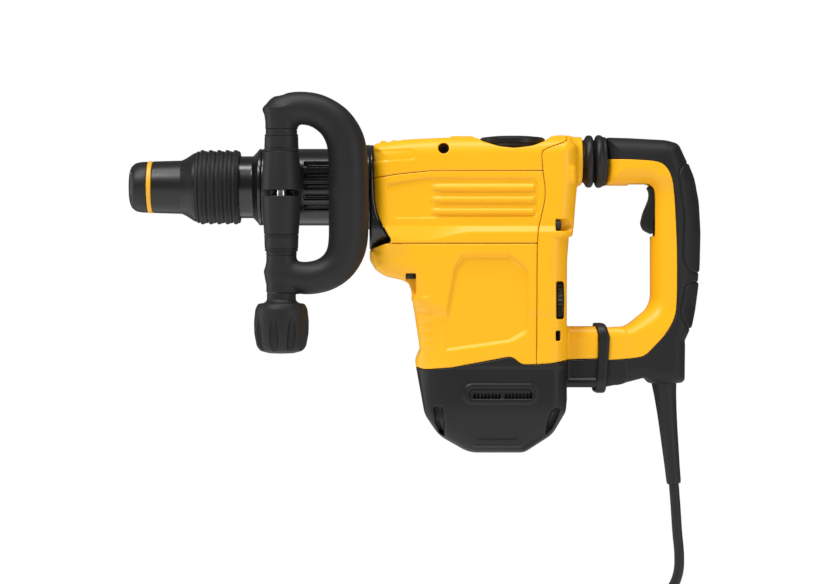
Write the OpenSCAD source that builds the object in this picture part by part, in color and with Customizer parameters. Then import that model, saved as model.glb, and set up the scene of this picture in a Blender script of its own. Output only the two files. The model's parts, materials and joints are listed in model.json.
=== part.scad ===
// Demolition hammer: vertical motor, in-line hammer mechanism, chuck, sprung rear handle, swinging side handle.
// Row frame in mm: +X towards the rear handle, +Z up, chuck points to -X, origin at the middle of the rear grip.

/* [Overall] */
// height of the tool axis above the middle of the rear grip
axis_h = 50; // [42:1:62]
// from the middle of the rear grip forward to the back of the housing
grip_reach = 85; // [78:1:105]
// length of the housing from its back to its front face
housing_l = 169; // [155:1:205]
// width of the motor and gear housing
housing_w = 98; // [92:1:120]
// from the middle of the rear grip down to the foot
foot_drop = 173; // [165:1:210]
// length of the bare barrel in front of the housing
barrel_l = 93; // [86:1:115]
// radius of the barrel
barrel_r = 32.3; // [30:0.1:39]

/* [Chuck] */
// radius of the tool socket
socket_r = 9; // [7.5:0.1:11]
// depth of the tool socket
socket_l = 90; // [75:1:110]
// radius of the spindle tube
spindle_r = 18; // [16.5:0.1:21]
// radius of the ribbed sleeve between its ribs
sleeve_r = 30.2; // [29:0.1:37]
// travel of the lock sleeve
sleeve_travel = 10; // [6:0.5:12]

/* [Hammer mechanism] */
// radius of the crank throw, half the piston stroke
crank_r = 13; // [10:0.5:15]
// length of the connecting rod between its eyes
rod_l = 60; // [52:1:72]
// inside radius of the cylinder
bore_r = 19; // [17:0.1:20.5]
// gear module of the crank drive
gear_m = 1; // [0.85:0.05:1.2]
// teeth on the crank gear
gear_teeth = 39; // [33:1:46]
// teeth on the armature pinion
pinion_teeth = 8; // [7:1:10]
// travel of the striker
striker_travel = 33; // [20:1:36]
// travel of the anvil
anvil_travel = 6; // [3:0.5:8]

/* [Motor] */
// radius of the motor bay
motor_bay_r = 43; // [42:0.5:45]
// radius of the armature
armature_r = 24; // [20:0.5:28]
// height of the armature and field stack
stack_h = 60; // [50:1:66]
// radius of the motor shaft
shaft_r = 5; // [4:0.1:6]

/* [Rear handle] */
// width of the rear grip
grip_w = 36; // [30:1:42]
// depth of the rear grip, front to back
grip_d = 42; // [38:1:50]
// radius of the rubber bellows
bellows_r = 21.8; // [20:0.1:24]
// width of the trigger
trigger_w = 21; // [17:0.5:25]

/* [Side handle] */
// distance of the side handle's axis from the tool axis, sideways
side_y = 52; // [50:1:62]
// radius of the side handle's grip
side_grip_r = 15.5; // [13:0.1:17]
// inside height of the side handle's loop
loop_h = 112.5; // [100:1:135]
// from the swing axis to the middle of the side grip
loop_reach = 53.5; // [50:0.5:53.6]
// radius of the clamp bolt
bolt_r = 4; // [3:0.1:5]
// radius of the clamp knob
knob_r = 22.6; // [19:0.1:27]
// height of the clamp knob
knob_h = 41.9; // [36:0.1:50]

/* [Cord] */
// diameter of the power cord
cord_d = 8.4; // [7:0.1:10]
// length of the tapered cord guard
guard_l = 86.8; // [70:1:104]

/* [Hidden] */
$fa = 6;
$fs = 0.8;
fit = 0.05;
gap = 0.2;
wall = 4;
az = axis_h;
half_w = housing_w / 2;
foot_z = -foot_drop;
hx1 = -grip_reach;
hx0 = hx1 - housing_l;
bx0 = hx0 - barrel_l;
seam_z = az - 47.2;
top_seam_z = az + 14;
rear_seam_x = hx1 - 31;
base_seam_z = foot_z + 72;

// chuck stations, each named by what starts there
neck_x = bx0 - 29;
sleeve_back_x = bx0 - 18.5;
grip_ring_l = 36.5;
cone_x = sleeve_back_x - grip_ring_l;
front_sleeve_x = cone_x - 12.6;
marker_x = front_sleeve_x - 25.4;
cap_x = marker_x - 4;
nose_x = cap_x - 16;
spindle_x = nose_x + 4;
socket_end_x = spindle_x + socket_l;
spindle_back_x = bx0 + 42;
sleeve_shoulder_x = neck_x - sleeve_travel - 4;
neck_r = sleeve_r - 4.2;
front_sleeve_r = spindle_r + 4;

// mechanism stations
mx = hx1 - 72;
pitch_g = gear_m * gear_teeth / 2;
pitch_p = gear_m * pinion_teeth / 2;
cx = mx + pitch_g + pitch_p + 0.4;
wrist_x = cx + crank_r - rod_l;
piston_front = 17;
piston_back = 11;
cyl_x0 = bx0 + 47;
cyl_x1 = mx - 8;
cyl_r = bore_r + 3;
anvil_r = spindle_r - 3;
anvil_x = socket_end_x + anvil_travel + 2;
anvil_back_x = cyl_x0 + 4;
striker_x = anvil_back_x + striker_travel + 1;
striker_l = 26;
gear_z = az - 30;
gear_h = 7;
disc_z = az - 20;
disc_h = 6;
pin_r = 5;
pin_top_z = az - 5.5;
eye_h = 10;

// gear case
case_x0 = hx0 + 9;
case_x1 = cx + pitch_g + 6;
case_w = 74;
case_z0 = az - 42;
case_z1 = az + 24;
chamber_z0 = az - 32;
chamber_z1 = az + 18;
chamber_w = 60;
flange_w = 72;
flange_h = 44;
screw_r = 2.5;
screw_head_r = 4.4;
screw_head_h = 4;
screw_l = 20;
bearing_r = 11;
bearing_h = 9;

// motor
stack_z0 = -97;
stack_z1 = stack_z0 + stack_h;
fan_z = stack_z1 + 16;
fan_h = 9;
fan_r = motor_bay_r - 5;
carrier_z0 = foot_z + 22;
comm_z0 = carrier_z0 + 14;
comm_h = 24;
comm_r = 15;

// rear handle
arm_z = az + 20.5;
rod_z = az + 22;
pivot_x = hx1 + 5;
pivot_z = -93;
pivot_r = 4;
arm_front_x = hx1 + 26.5;
stub_back_x = hx1 + 6.4;
lower_stub_x = hx1 + 14.6;
guide_r = 6;
grip_front_x = -grip_d / 2 - 0.5;
grip_back_x = grip_d / 2 - 0.5;
hinge_x = grip_front_x + 5;
hinge_z = az - 4.5;

// side handle
column_x = bx0 + 18.5;
split_z = az - 7;
jaw_gap = 5;
jaw_r = 16.7;
jaw_end_r = 14.6;
upper_jaw_z = az + 29;
lower_jaw_z = az - 42.5;
loop_top_z = az + 49.3;
loop_low_z = loop_top_z - loop_h;
arm_r = 13;
arm_up_z = loop_top_z + arm_r;
arm_low_z = loop_low_z - arm_r;
eye_up_z = az + 45;
band_w = 26;
band_t = 3;
washer_z = arm_low_z - arm_r - 2;
knob_stem_h = 6;
knob_top_z = washer_z - knob_stem_h;

// speed wheel and selector dial
wheel_r = 20;
wheel_h = 5;
wheel_x = hx1 - 14.6;
wheel_z = -44.8;
wheel_y = -half_w + 24;
dial_x = hx1 - 52.3;
dial_r = 26.6;
dial_z = az + 31;

// cord: exit, hanging run, flat tied coil on the floor, tail and plug
guard_x = -10;
guard_z = -112.6;
guard_tilt = 5.6;
boss_r = 16.4;
exit_x = guard_x + guard_l * sin(guard_tilt);
exit_z = guard_z - guard_l * cos(guard_tilt);
floor_z = -336;
tie_t = 1.2;
coil_mean_r = 50;
coil_w = 3 * cord_d;
coil_h = 4 * cord_d;
coil_x = -37;
coil_z = floor_z + tie_t + coil_h / 2;
lead_top_z = coil_z + coil_h / 2 - cord_d / 2;
bend_r = 40;
bend_x = coil_x;
bend_z = lead_top_z + bend_r;
tail_z = floor_z + tie_t + cord_d / 2;
tail_y = -cord_d;
tail_end_x = -112;
plug_l = 52;

yellow = [0.96, 0.72, 0.1];
black = [0.15, 0.15, 0.16];
rubber = [0.1, 0.1, 0.11];
steel = [0.62, 0.63, 0.65];
alloy = [0.72, 0.73, 0.75];
copper = [0.72, 0.45, 0.2];
board_green = [0.1, 0.35, 0.2];

// ---- shared shapes ----

// prism with an X-Z outline, centred on Y
module side_prism(points, w) {
  rotate([90, 0, 0]) translate([0, 0, -w / 2]) linear_extrude(w) polygon(points);
}

// round piece along X at the tool axis, from a list of [x, radius] points
module turned_x(points) {
  translate([0, 0, az]) rotate([0, 90, 0]) rotate_extrude() polygon([for (p = points) [p[1], p[0]]]);
}

// cylinder along X at the tool axis
module axis_cyl(x0, x1, r) {
  translate([x0, 0, az]) rotate([0, 90, 0]) cylinder(h = x1 - x0, r = r);
}

// tube along X at the tool axis
module axis_tube(x0, x1, ro, ri) {
  difference() {
    axis_cyl(x0, x1, ro);
    axis_cyl(x0 - 1, x1 + 1, ri);
  }
}

// cylinder along Y
module y_cyl(x, z, y0, y1, r) {
  translate([x, y1, z]) rotate([90, 0, 0]) cylinder(h = y1 - y0, r = r);
}

// box from its low corner to its high corner
module span_box(low, high) {
  translate(low) cube(high - low);
}

// rounded rectangle built from squares and circles
module round_rect(w, h, r) {
  square([w - 2 * r, h], center = true);
  square([w, h - 2 * r], center = true);
  for (x = [-1, 1], y = [-1, 1]) {
    translate([x * (w / 2 - r), y * (h / 2 - r)]) circle(r);
  }
}

// bar along X with a rounded section, centred at a height
module x_bar(x0, x1, w, h, r, z) {
  translate([x0, 0, z]) rotate([90, 0, 90]) linear_extrude(x1 - x0) round_rect(w, h, r);
}

// coil spring along X: turns of round wire as one closed solid
module coil_spring(x0, x1, z, r, wire_r, turns) {
  steps = 14;
  sides = 8;
  count = turns * steps;
  rings = [for (i = [0:count]) let (a = 360 * i / steps, x = x0 + wire_r + (x1 - x0 - 2 * wire_r) * i / count)
    [for (k = [0:sides - 1]) let (b = 360 * k / sides, d = r + wire_r * cos(b))
      [x + wire_r * sin(b), d * cos(a), z + d * sin(a)]]];
  swept(rings, count, sides);
}

// closed solid through rings of equal size
module swept(rings, count, sides) {
  points = [for (ring = rings) for (p = ring) p];
  walls = [for (i = [0:count - 1], k = [0:sides - 1])
    [i * sides + k, (i + 1) * sides + k, (i + 1) * sides + (k + 1) % sides, i * sides + (k + 1) % sides]];
  first = [[for (k = [0:sides - 1]) k]];
  last = [[for (k = [sides - 1:-1:0]) count * sides + k]];
  polyhedron(points = points, faces = concat(walls, first, last), convexity = 10);
}

function unit(v) = v / norm(v);

// round cord through a list of points that never run along the side direction
module cord_tube(path, r, side) {
  sides = 10;
  count = len(path) - 1;
  rings = [for (i = [0:count]) let (
      t = unit(path[min(i + 1, count)] - path[max(i - 1, 0)]),
      u = unit(cross(side, t)),
      v = cross(t, u))
    [for (k = [0:sides - 1]) path[i] + r * cos(360 * k / sides) * v + r * sin(360 * k / sides) * u]];
  swept(rings, count, sides);
}

// flat gear outline with straight-sided teeth
function gear_outline(teeth, pitch) = [for (i = [0:teeth - 1], s = [0:3]) let (
    a = 360 * i / teeth + [-0.36, -0.14, 0.14, 0.36][s] * 360 / teeth,
    r = pitch + [-1.2, 0.85, 0.85, -1.2][s] * gear_m)
  [r * cos(a), r * sin(a)]];

// ---- housing outline ----

housing_side = [
  [hx0, az + 35], [hx0 + 30, az + 40], [hx0 + 59, az + 41.6], [hx1 - 6, az + 41.6], [hx1, az + 37],
  [hx1 + 1, az], [hx1 - 4, az - 46], [hx1 - 7, az - 69], [hx1 - 7, base_seam_z - 8],
  [hx0 + 37, base_seam_z - 1], [hx0 + 35.2, base_seam_z + 6], [hx0 + 39.3, base_seam_z + 16],
  [hx0 + 31.7, az - 86], [hx0 + 29, az - 80], [hx0 + 23, az - 77.5], [hx0 + 10, az - 75.2],
  [hx0 + 1, az - 70.2], [hx0 - 4, az - 61.5], [hx0 - 4, az - 53.4]];

base_side = [
  [hx0 + 36.6, base_seam_z + 0.2], [hx0 + 43, foot_z + 33], [hx0 + 54.4, foot_z + 15], [hx0 + 73, foot_z + 2.5],
  [hx0 + 80.5, foot_z], [hx1 - 42.3, foot_z], [hx1 - 18, foot_z + 16.8], [hx1 - 7.1, foot_z + 37],
  [hx1 - 6.2, foot_z + 49], [hx1 - 6.2, base_seam_z + 6], [hx1 - 19, base_seam_z + 3],
  [hx1 - 43.6, base_seam_z + 1.9], [hx1 - 51.6, base_seam_z + 7.4], [hx1 - 57.8, base_seam_z + 7.8],
  [hx0 + 65, base_seam_z - 0.6], [hx0 + 41.8, base_seam_z - 2.3]];

// round corners in plan and at the top of the cross-section
module body_envelope(inset) {
  intersection() {
    translate([(hx0 + hx1) / 2 - 1, 0, foot_z - 5]) linear_extrude(foot_drop + az + 60)
      round_rect(housing_l + 7 - 2 * inset, housing_w - 2 * inset, 24 - inset);
    x_bar(hx0 - 10, hx1 + 10, housing_w - 2 * inset, foot_drop + az + 41.6 + 8 - 2 * inset, 26,
      (az + 41.6 + foot_z - 8) / 2);
  }
}

module housing_solid() {
  intersection() {
    side_prism(housing_side, housing_w + 10);
    body_envelope(0);
  }
}

// everything the housing shells leave room for
module housing_bays() {
  span_box([hx0 + wall, -case_w / 2 - gap, case_z0 - gap], [case_x1 + gap, case_w / 2 + gap, case_z1 + gap]);
  translate([mx, 0, foot_z]) cylinder(h = seam_z - foot_z, r = motor_bay_r);
  axis_cyl(hx0 - 20, hx0 + 9, barrel_r + gap);
  span_box([hx0 + 8, -half_w + 7, az - 68], [mx - motor_bay_r + 12, half_w - 7, seam_z]);
  span_box([rear_seam_x - 2, -half_w + 13, base_seam_z + 14], [hx1 - 9.2, half_w - 13, az - 54]);
  translate([mx, 0, seam_z - 5]) cylinder(h = 20, r = shaft_r + 3);
}

module screw_along_y(x, z, y, side) {
  y_cyl(x, z, min(y, y + side * screw_head_h), max(y, y + side * screw_head_h), screw_head_r);
  y_cyl(x, z, min(y, y - side * screw_l), max(y, y - side * screw_l), screw_r);
}

// seats of the screws that show on the housing's sides
side_screws = [[hx0 + 32, az - 60.5]];
side_screw_y = half_w - 19;

// screws that hold the rear cover, in pockets open to the side and the rear
rear_screw_x = hx1 - 14.5;
rear_screw_y = half_w - 8;
rear_screw_z = az - 32.4;

module side_screw_holes() {
  for (p = side_screws, s = [-1, 1]) {
    y_cyl(p[0], p[1], min(s * side_screw_y, s * (half_w + 5)), max(s * side_screw_y, s * (half_w + 5)), screw_head_r + 0.6);
    y_cyl(p[0], p[1], min(s * (side_screw_y - screw_l - 1), s * side_screw_y),
      max(s * (side_screw_y - screw_l - 1), s * side_screw_y), screw_r);
  }
}

module rear_screw(s) {
  translate([rear_screw_x, s * rear_screw_y, rear_screw_z]) rotate([0, -90, 0]) {
    translate([0, 0, -screw_head_h]) cylinder(h = screw_head_h, r = screw_head_r);
    cylinder(h = screw_l + 4, r = screw_r);
  }
}

module rear_screw_pockets() {
  for (s = [-1, 1]) {
    rear_screw(s);
    translate([0, s * rear_screw_y, rear_screw_z]) span_box([rear_screw_x, -5, -5], [hx1 + 10, 5, 5]);
    translate([0, s * (rear_screw_y + 6), rear_screw_z]) span_box([rear_screw_x, -6, -5], [hx1 + 10, 6, 5]);
  }
}

// ---- housing pieces ----

module motor_housing() {
  color(yellow) difference() {
    intersection() {
      housing_solid();
      span_box([hx0 - 20, -100, base_seam_z - 30], [rear_seam_x, 100, seam_z]);
    }
    side_prism(collar_side, 200);
    side_prism([for (p = base_side) p + [0, 0.02]], 200);
    span_box([hx0, -100, foot_z], [rear_seam_x - 4, 100, base_seam_z - 2.4]);
    housing_bays();
    side_screw_holes();
    for (s = [-1, 1]) {
      translate([rear_seam_x - 33, s * (half_w - 1), az - 96]) span_box([-22, -1.2, -28], [24, 1.2, 34]);
    }
  }
}

module gearbox_shroud() {
  color(yellow) difference() {
    intersection() {
      housing_solid();
      span_box([hx0 - 20, -100, seam_z], [rear_seam_x, 100, top_seam_z]);
    }
    side_prism(collar_side, 200);
    housing_bays();
    rear_screw_pockets();
    for (s = [-1, 1], k = [0:2]) {
      translate([0, s * half_w, az - 12 + 10 * k]) span_box([hx0 + 50, -2, -4.4], [rear_seam_x - 1, 2, 0.2]);
    }
  }
}

module top_cover() {
  color(yellow) difference() {
    union() {
      intersection() {
        housing_solid();
        span_box([hx0 - 20, -100, top_seam_z], [rear_seam_x + 4, 100, az + 60]);
      }
      span_box([dial_x - dial_r - 19, -12, az + 38], [dial_x - dial_r - 5, 12, az + 43.7]);
      span_box([dial_x + dial_r + 1, -12, az + 38], [rear_seam_x + 4, 12, az + 43.9]);
    }
    side_prism(collar_side, 200);
    housing_bays();
    dial_well();
  }
}

module dial_well() {
  translate([dial_x, 0, dial_z - 1]) cylinder(h = 40, r = dial_r + 1.4);
  translate([dial_x, 0, az]) cylinder(h = 40, r = 6 + fit);
}

module rear_cover() {
  color(yellow) difference() {
    union() {
      intersection() {
        housing_solid();
        union() {
          span_box([rear_seam_x, -100, base_seam_z - 30], [hx1 + 10, 100, top_seam_z]);
          span_box([rear_seam_x + 4, -100, top_seam_z - 1], [hx1 + 10, 100, az + 60]);
        }
      }
      translate([hx1 - 8, 0, rod_z]) rotate([0, 90, 0]) cylinder(h = stub_back_x - hx1 + 8, r = bellows_r - 1.5);
      x_bar(hx1 - 9, lower_stub_x, 46, 40, 8, -86);
    }
    side_prism(base_side, 200);
    span_box([rear_seam_x + 1, -100, foot_z], [lower_stub_x + 5, 100, -95.2]);
    housing_bays();
    span_box([rear_seam_x - 1, -case_w / 2 - gap, case_z0 - gap], [case_x1 + gap, case_w / 2 + gap, case_z1 + gap]);
    dial_well();
    span_box([rear_seam_x + 11, -16, rod_z - 13], [hx1 - 6, 16, rod_z + 13]);
    span_box([case_x1, -half_w + 17, seam_z], [hx1 - 5.5, half_w - 17, rod_z - 15]);
    translate([hx1 - 20, 0, rod_z]) rotate([0, 90, 0]) cylinder(h = 40, r = guide_r + 2);
    rear_screw_pockets();
    translate([wheel_x, wheel_y, wheel_z]) rotate([0, 90, 0]) cylinder(h = wheel_h + 1, r = wheel_r + 0.8, center = true);
    span_box([hx1 - 1, -13.4, -115], [lower_stub_x + 5, 13.4, -74]);
    span_box([pivot_x - 12, -13.4, -115], [lower_stub_x + 5, 13.4, -74]);
    y_cyl(pivot_x, pivot_z, -40, 40, pivot_r);
  }
}

module base_cap() {
  color(black) difference() {
    union() {
      intersection() {
        side_prism(base_side, 200);
        body_envelope(2);
      }
      x_bar(hx1 - 8, lower_stub_x, 46, 27, 7, -109);
    }
    span_box([hx1 - 12, -100, -95.1], [lower_stub_x + 5, 100, base_seam_z + 30]);
    translate([mx, 0, carrier_z0 - gap]) cylinder(h = 200, r = motor_bay_r);
    span_box([mx + motor_bay_r - 13, -half_w + 9, foot_z + 24], [hx1 - 12, half_w - 9, base_seam_z + 30]);
    span_box([hx0 + 48, -half_w + 11, foot_z + 38], [mx - motor_bay_r + 13, half_w - 11, base_seam_z + 30]);
    span_box([pivot_x - 12, -13.4, -112], [lower_stub_x + 5, 13.4, -74]);
    y_cyl(pivot_x, pivot_z, -40, 40, pivot_r + 0.5);
    for (s = [-1, 1], k = [-8:8]) {
      translate([(mx + 9.8) + 3 * k, s * (half_w - 1), foot_z + 49.4]) cube([1.8, 14, 5], center = true);
    }
    for (s = [-1, 1], x = [hx0 + 56, hx1 - 22]) {
      translate([x, s * half_w, foot_z + 15]) cylinder(h = 22, r = 6);
    }
  }
}

collar_side = [
  [hx0 - 4.5, az + 35.2], [hx0 + 0.8, az + 34.6], [hx0 + 0.8, az + 7], [hx0 + 1.7, az - 12], [hx0 + 4.3, az - 24.6],
  [hx0 + 8.6, az - 34], [hx0 + 16.2, az - 46.5], [hx0 + 3.3, az - 50.3], [hx0 - 4.5, az - 53.2]];

module front_collar() {
  color(black) difference() {
    intersection() {
      side_prism(collar_side, 200);
      x_bar(hx0 - 10, hx0 + 30, housing_w - 14, 92, 30, az - 10.4);
    }
    axis_cyl(hx0 - 20, hx0 + 30, barrel_r + gap);
    span_box([hx0 + wall, -case_w / 2 - gap, case_z0 - gap], [hx0 + 40, case_w / 2 + gap, case_z1 + gap]);
  }
}

module screw_along_x(x, y, z) {
  translate([x - screw_head_h, y, z]) rotate([0, 90, 0]) cylinder(h = screw_head_h, r = screw_head_r);
  translate([x, y, z]) rotate([0, 90, 0]) cylinder(h = screw_l, r = screw_r);
}

flange_screw_x = hx0 + 8;
flange_screw_y = flange_w / 2 - 4.5;
flange_screw_z = 15;

module housing_screws() {
  color(steel) {
    for (p = side_screws, s = [-1, 1]) {
      screw_along_y(p[0], p[1], s * side_screw_y, s);
    }
    for (s = [-1, 1]) {
      rear_screw(s);
    }
    for (y = [-1, 1], z = [-1, 1]) {
      screw_along_x(flange_screw_x, y * flange_screw_y, az + z * flange_screw_z);
    }
  }
}

module flange_screw_bores() {
  for (y = [-1, 1], z = [-1, 1]) {
    screw_along_x(flange_screw_x, y * flange_screw_y, az + z * flange_screw_z);
  }
}

module gearbox_casting() {
  color(alloy) difference() {
    span_box([case_x0, -case_w / 2, case_z0], [case_x1, case_w / 2, case_z1]);
    axis_cyl(case_x0 - 1, cyl_x1, cyl_r + 0.01);
    span_box([cyl_x1, -chamber_w / 2, chamber_z0], [case_x1 - 3, chamber_w / 2, chamber_z1]);
    for (x = [mx, cx]) {
      translate([x, 0, case_z0 - 1]) cylinder(h = bearing_h + 1, r = bearing_r);
      translate([x, 0, case_z0]) cylinder(h = 14, r = shaft_r + 2);
    }
    for (s = [-1, 1], k = [0:3]) {
      translate([case_x0 + 16 + 14 * k, s * case_w / 2, az - 24]) cube([9, 12, 26], center = true);
      translate([case_x0 + 16 + 14 * k, s * case_w / 2, az + 16]) cube([9, 12, 10], center = true);
    }
    translate([dial_x, 0, az]) cylinder(h = 40, r = 6 + fit);
    flange_screw_bores();
  }
}

module barrel() {
  color(black) difference() {
    union() {
      axis_cyl(bx0, case_x0, barrel_r);
      x_bar(hx0 + wall + gap, case_x0, flange_w, flange_h, 6, az);
    }
    axis_cyl(bx0 - 1, cyl_x0 - 2, spindle_r + fit);
    axis_cyl(cyl_x0 - 2, case_x0 + 1, cyl_r + 0.01);
    for (s = [-1, 1], k = [-2:2]) {
      translate([0, 0, az]) rotate([s * (90 - 17 * k), 0, 0]) translate([bx0 + 36, -2.4, barrel_r - 2]) cube([40, 4.8, 5]);
    }
    flange_screw_bores();
  }
}

module barrel_nose() {
  color(black) turned_x([[neck_x, spindle_r + 0.3], [neck_x, neck_r], [bx0 - 7, neck_r], [bx0 - 3, barrel_r - 0.8],
    [bx0 - 3, barrel_r], [bx0, barrel_r], [bx0, spindle_r + 0.3]]);
}

module cylinder_sleeve() {
  color(steel) difference() {
    axis_tube(cyl_x0, cyl_x1, cyl_r, bore_r);
    for (k = [0:5]) {
      translate([striker_x + 4, 0, az]) rotate([60 * k, 0, 0]) cylinder(h = cyl_r + 2, r = 1.5);
    }
  }
}

// ---- motor ----

module field_stator() {
  color(steel) translate([mx, 0, stack_z0]) difference() {
    linear_extrude(stack_h) intersection() {
      circle(motor_bay_r - 0.1);
      square([2 * motor_bay_r - 8, 2 * motor_bay_r], center = true);
    }
    translate([0, 0, -1]) cylinder(h = stack_h + 2, r = armature_r + 0.6);
    for (s = [-1, 1]) {
      translate([s * (armature_r + 5), 0, stack_h / 2]) cube([11, 40, stack_h + 2], center = true);
    }
  }
}

module field_coils() {
  color(copper) translate([mx, 0, stack_z0 - 4]) difference() {
    union() {
      for (s = [-1, 1]) {
        translate([s * (armature_r + 5.2), 0, stack_h / 2 + 4]) cube([9.6, 39, stack_h + 8], center = true);
      }
    }
    translate([0, 0, -1]) cylinder(h = stack_h + 20, r = armature_r + 0.8);
  }
}

module brush_carrier() {
  color(black) translate([mx, 0, 0]) difference() {
    union() {
      translate([0, 0, carrier_z0]) cylinder(h = 4, r = motor_bay_r - gap);
      translate([0, 0, carrier_z0]) cylinder(h = 11, r = bearing_r + 3);
      for (s = [-1, 1]) {
        translate([0, s * (comm_r + 13), carrier_z0 + 21]) cube([16, 24, 38], center = true);
      }
    }
    translate([0, 0, carrier_z0 + 2]) cylinder(h = 20, r = bearing_r);
    for (s = [-1, 1]) {
      translate([0, s * (comm_r + 12), comm_z0 + comm_h / 2]) cube([8, 40, 12], center = true);
    }
  }
}

module carbon_brushes() {
  color([0.2, 0.2, 0.22]) for (s = [-1, 1]) {
    translate([mx, s * (comm_r + 9.2), comm_z0 + comm_h / 2]) cube([8, 18, 12], center = true);
  }
}

module ball_bearing(x, z, ri) {
  translate([x, 0, z]) rotate_extrude() {
    translate([ri, 0]) square([1.8, bearing_h]);
    translate([bearing_r - 1.8, 0]) square([1.8, bearing_h]);
    translate([ri + 1.7, bearing_h / 2 - 1.5]) square([bearing_r - ri - 3.4, 3]);
  }
}

module ball_bearings() {
  color(steel) {
    ball_bearing(mx, case_z0, shaft_r + fit);
    ball_bearing(cx, case_z0, shaft_r + fit);
    ball_bearing(mx, carrier_z0 + 2, shaft_r + fit);
  }
}

module rotor_shaft() {
  color(steel) translate([mx, 0, 0]) {
    translate([0, 0, carrier_z0 + 2]) cylinder(h = case_z0 + bearing_h - carrier_z0 - 2, r = shaft_r);
    translate([0, 0, case_z0 + bearing_h]) cylinder(h = gear_z + gear_h + 1 - case_z0 - bearing_h, r = pitch_p - 1.3 * gear_m);
    translate([0, 0, gear_z]) rotate([0, 0, gear_teeth % 2 == 0 ? 180 / pinion_teeth : 0]) linear_extrude(gear_h)
      polygon(gear_outline(pinion_teeth, pitch_p));
  }
}

module armature() {
  color(steel) translate([mx, 0, stack_z0]) difference() {
    cylinder(h = stack_h, r = armature_r);
    translate([0, 0, -1]) cylinder(h = stack_h + 2, r = shaft_r);
    for (k = [0:11]) {
      rotate([0, 0, 30 * k]) translate([armature_r, 0, stack_h / 2]) cube([9, 3, stack_h + 2], center = true);
    }
  }
}

module commutator() {
  color(copper) translate([mx, 0, comm_z0]) difference() {
    cylinder(h = comm_h, r = comm_r);
    translate([0, 0, -1]) cylinder(h = comm_h + 2, r = shaft_r);
  }
}

module cooling_fan() {
  color(black) translate([mx, 0, fan_z]) difference() {
    union() {
      cylinder(h = 2, r = fan_r);
      cylinder(h = fan_h, r = shaft_r + 4);
      for (k = [0:10]) {
        rotate([0, 0, 360 * k / 11]) translate([shaft_r + 3, -0.8, 0]) cube([fan_r - shaft_r - 4, 1.6, fan_h]);
      }
    }
    translate([0, 0, -1]) cylinder(h = fan_h + 2, r = shaft_r);
  }
}

module control_board() {
  color(board_green) {
    span_box([rear_seam_x + 7, -half_w + 15, -84], [rear_seam_x + 9, half_w - 15, -14]);
    span_box([rear_seam_x + 9, 6, -74], [rear_seam_x + 15, half_w - 19, -50]);
    span_box([rear_seam_x + 9, 8, -40], [rear_seam_x + 17, half_w - 22, -24]);
  }
}

// ---- drive ----

module crank_gear() {
  color(steel) translate([cx, 0, 0]) {
    translate([0, 0, gear_z]) linear_extrude(gear_h) polygon(gear_outline(gear_teeth, pitch_g));
    translate([0, 0, case_z0 + 0.5]) cylinder(h = disc_z - case_z0, r = shaft_r);
    translate([0, 0, gear_z + gear_h]) cylinder(h = disc_z - gear_z - gear_h, r = 10);
    translate([0, 0, disc_z]) cylinder(h = disc_h, r = crank_r + 5);
    translate([crank_r, 0, disc_z]) cylinder(h = pin_top_z - disc_z, r = pin_r);
  }
}

module piston() {
  color(alloy) difference() {
    axis_cyl(wrist_x - piston_front, wrist_x + piston_back, bore_r - fit);
    translate([wrist_x, 0, az]) span_box([-7, -14, -5.5], [piston_back + 1, 14, 5.5]);
    translate([wrist_x, 0, az]) cylinder(h = 60, r = 4, center = true);
    axis_tube(wrist_x - piston_front + 4, wrist_x - piston_front + 7, bore_r + 1, bore_r - 1.5);
  }
}

module wrist_pin() {
  color(steel) translate([wrist_x, 0, az]) cylinder(h = 2 * bore_r - 10, r = 4, center = true);
}

module connecting_rod() {
  color(alloy) translate([wrist_x, 0, az]) difference() {
    union() {
      cylinder(h = eye_h, r = 6.5, center = true);
      translate([rod_l, 0, 0]) cylinder(h = eye_h, r = pin_r + 3.4, center = true);
      translate([rod_l / 2, 0, 0]) cube([rod_l, 8, 7], center = true);
    }
    cylinder(h = eye_h + 2, r = 4 + fit, center = true);
    translate([rod_l, 0, 0]) cylinder(h = eye_h + 2, r = pin_r + fit, center = true);
  }
}

module striker() {
  color(steel) difference() {
    axis_cyl(striker_x, striker_x + striker_l, bore_r - fit);
    axis_tube(striker_x + 9, striker_x + 12, bore_r + 1, bore_r - 1.5);
    axis_cyl(striker_x + striker_l - 8, striker_x + striker_l + 1, bore_r - 7);
  }
}

module anvil() {
  color(steel) turned_x([[anvil_x, 0], [anvil_x, anvil_r - 2], [anvil_x + 2, anvil_r], [spindle_back_x - 12, anvil_r],
    [spindle_back_x - 8, 10], [anvil_back_x - 1, 10], [anvil_back_x, 9], [anvil_back_x, 0]]);
}

// ---- chuck ----

roller_x = front_sleeve_x - 2;
roller_l = 16;
roller_r = 3.4;
roller_y = (spindle_r + socket_r) / 2;

module spindle_tube() {
  color(steel) difference() {
    axis_cyl(spindle_x, spindle_back_x, spindle_r);
    axis_cyl(spindle_x - 1, socket_end_x + 1, socket_r);
    axis_cyl(socket_end_x, spindle_back_x + 1, anvil_r + fit);
    for (s = [-1, 1]) {
      translate([roller_x, s * roller_y, az]) cube([roller_l + 6, spindle_r - socket_r - 1.6, 2 * roller_r + 0.4], center = true);
    }
  }
}

module lock_rollers() {
  color(steel) for (s = [-1, 1]) {
    translate([roller_x - roller_l / 2, s * roller_y, az]) rotate([0, 90, 0]) cylinder(h = roller_l, r = roller_r);
  }
}

module dust_cap() {
  color(rubber) turned_x([[nose_x, socket_r + 0.5], [nose_x, front_sleeve_r - 8], [nose_x + 1.6, front_sleeve_r - 4.4],
    [nose_x + 4.4, front_sleeve_r - 2], [nose_x + 8, front_sleeve_r - 0.8], [cap_x, front_sleeve_r - 0.4],
    [cap_x, spindle_r], [spindle_x, spindle_r], [spindle_x, socket_r + 0.5]]);
}

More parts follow.
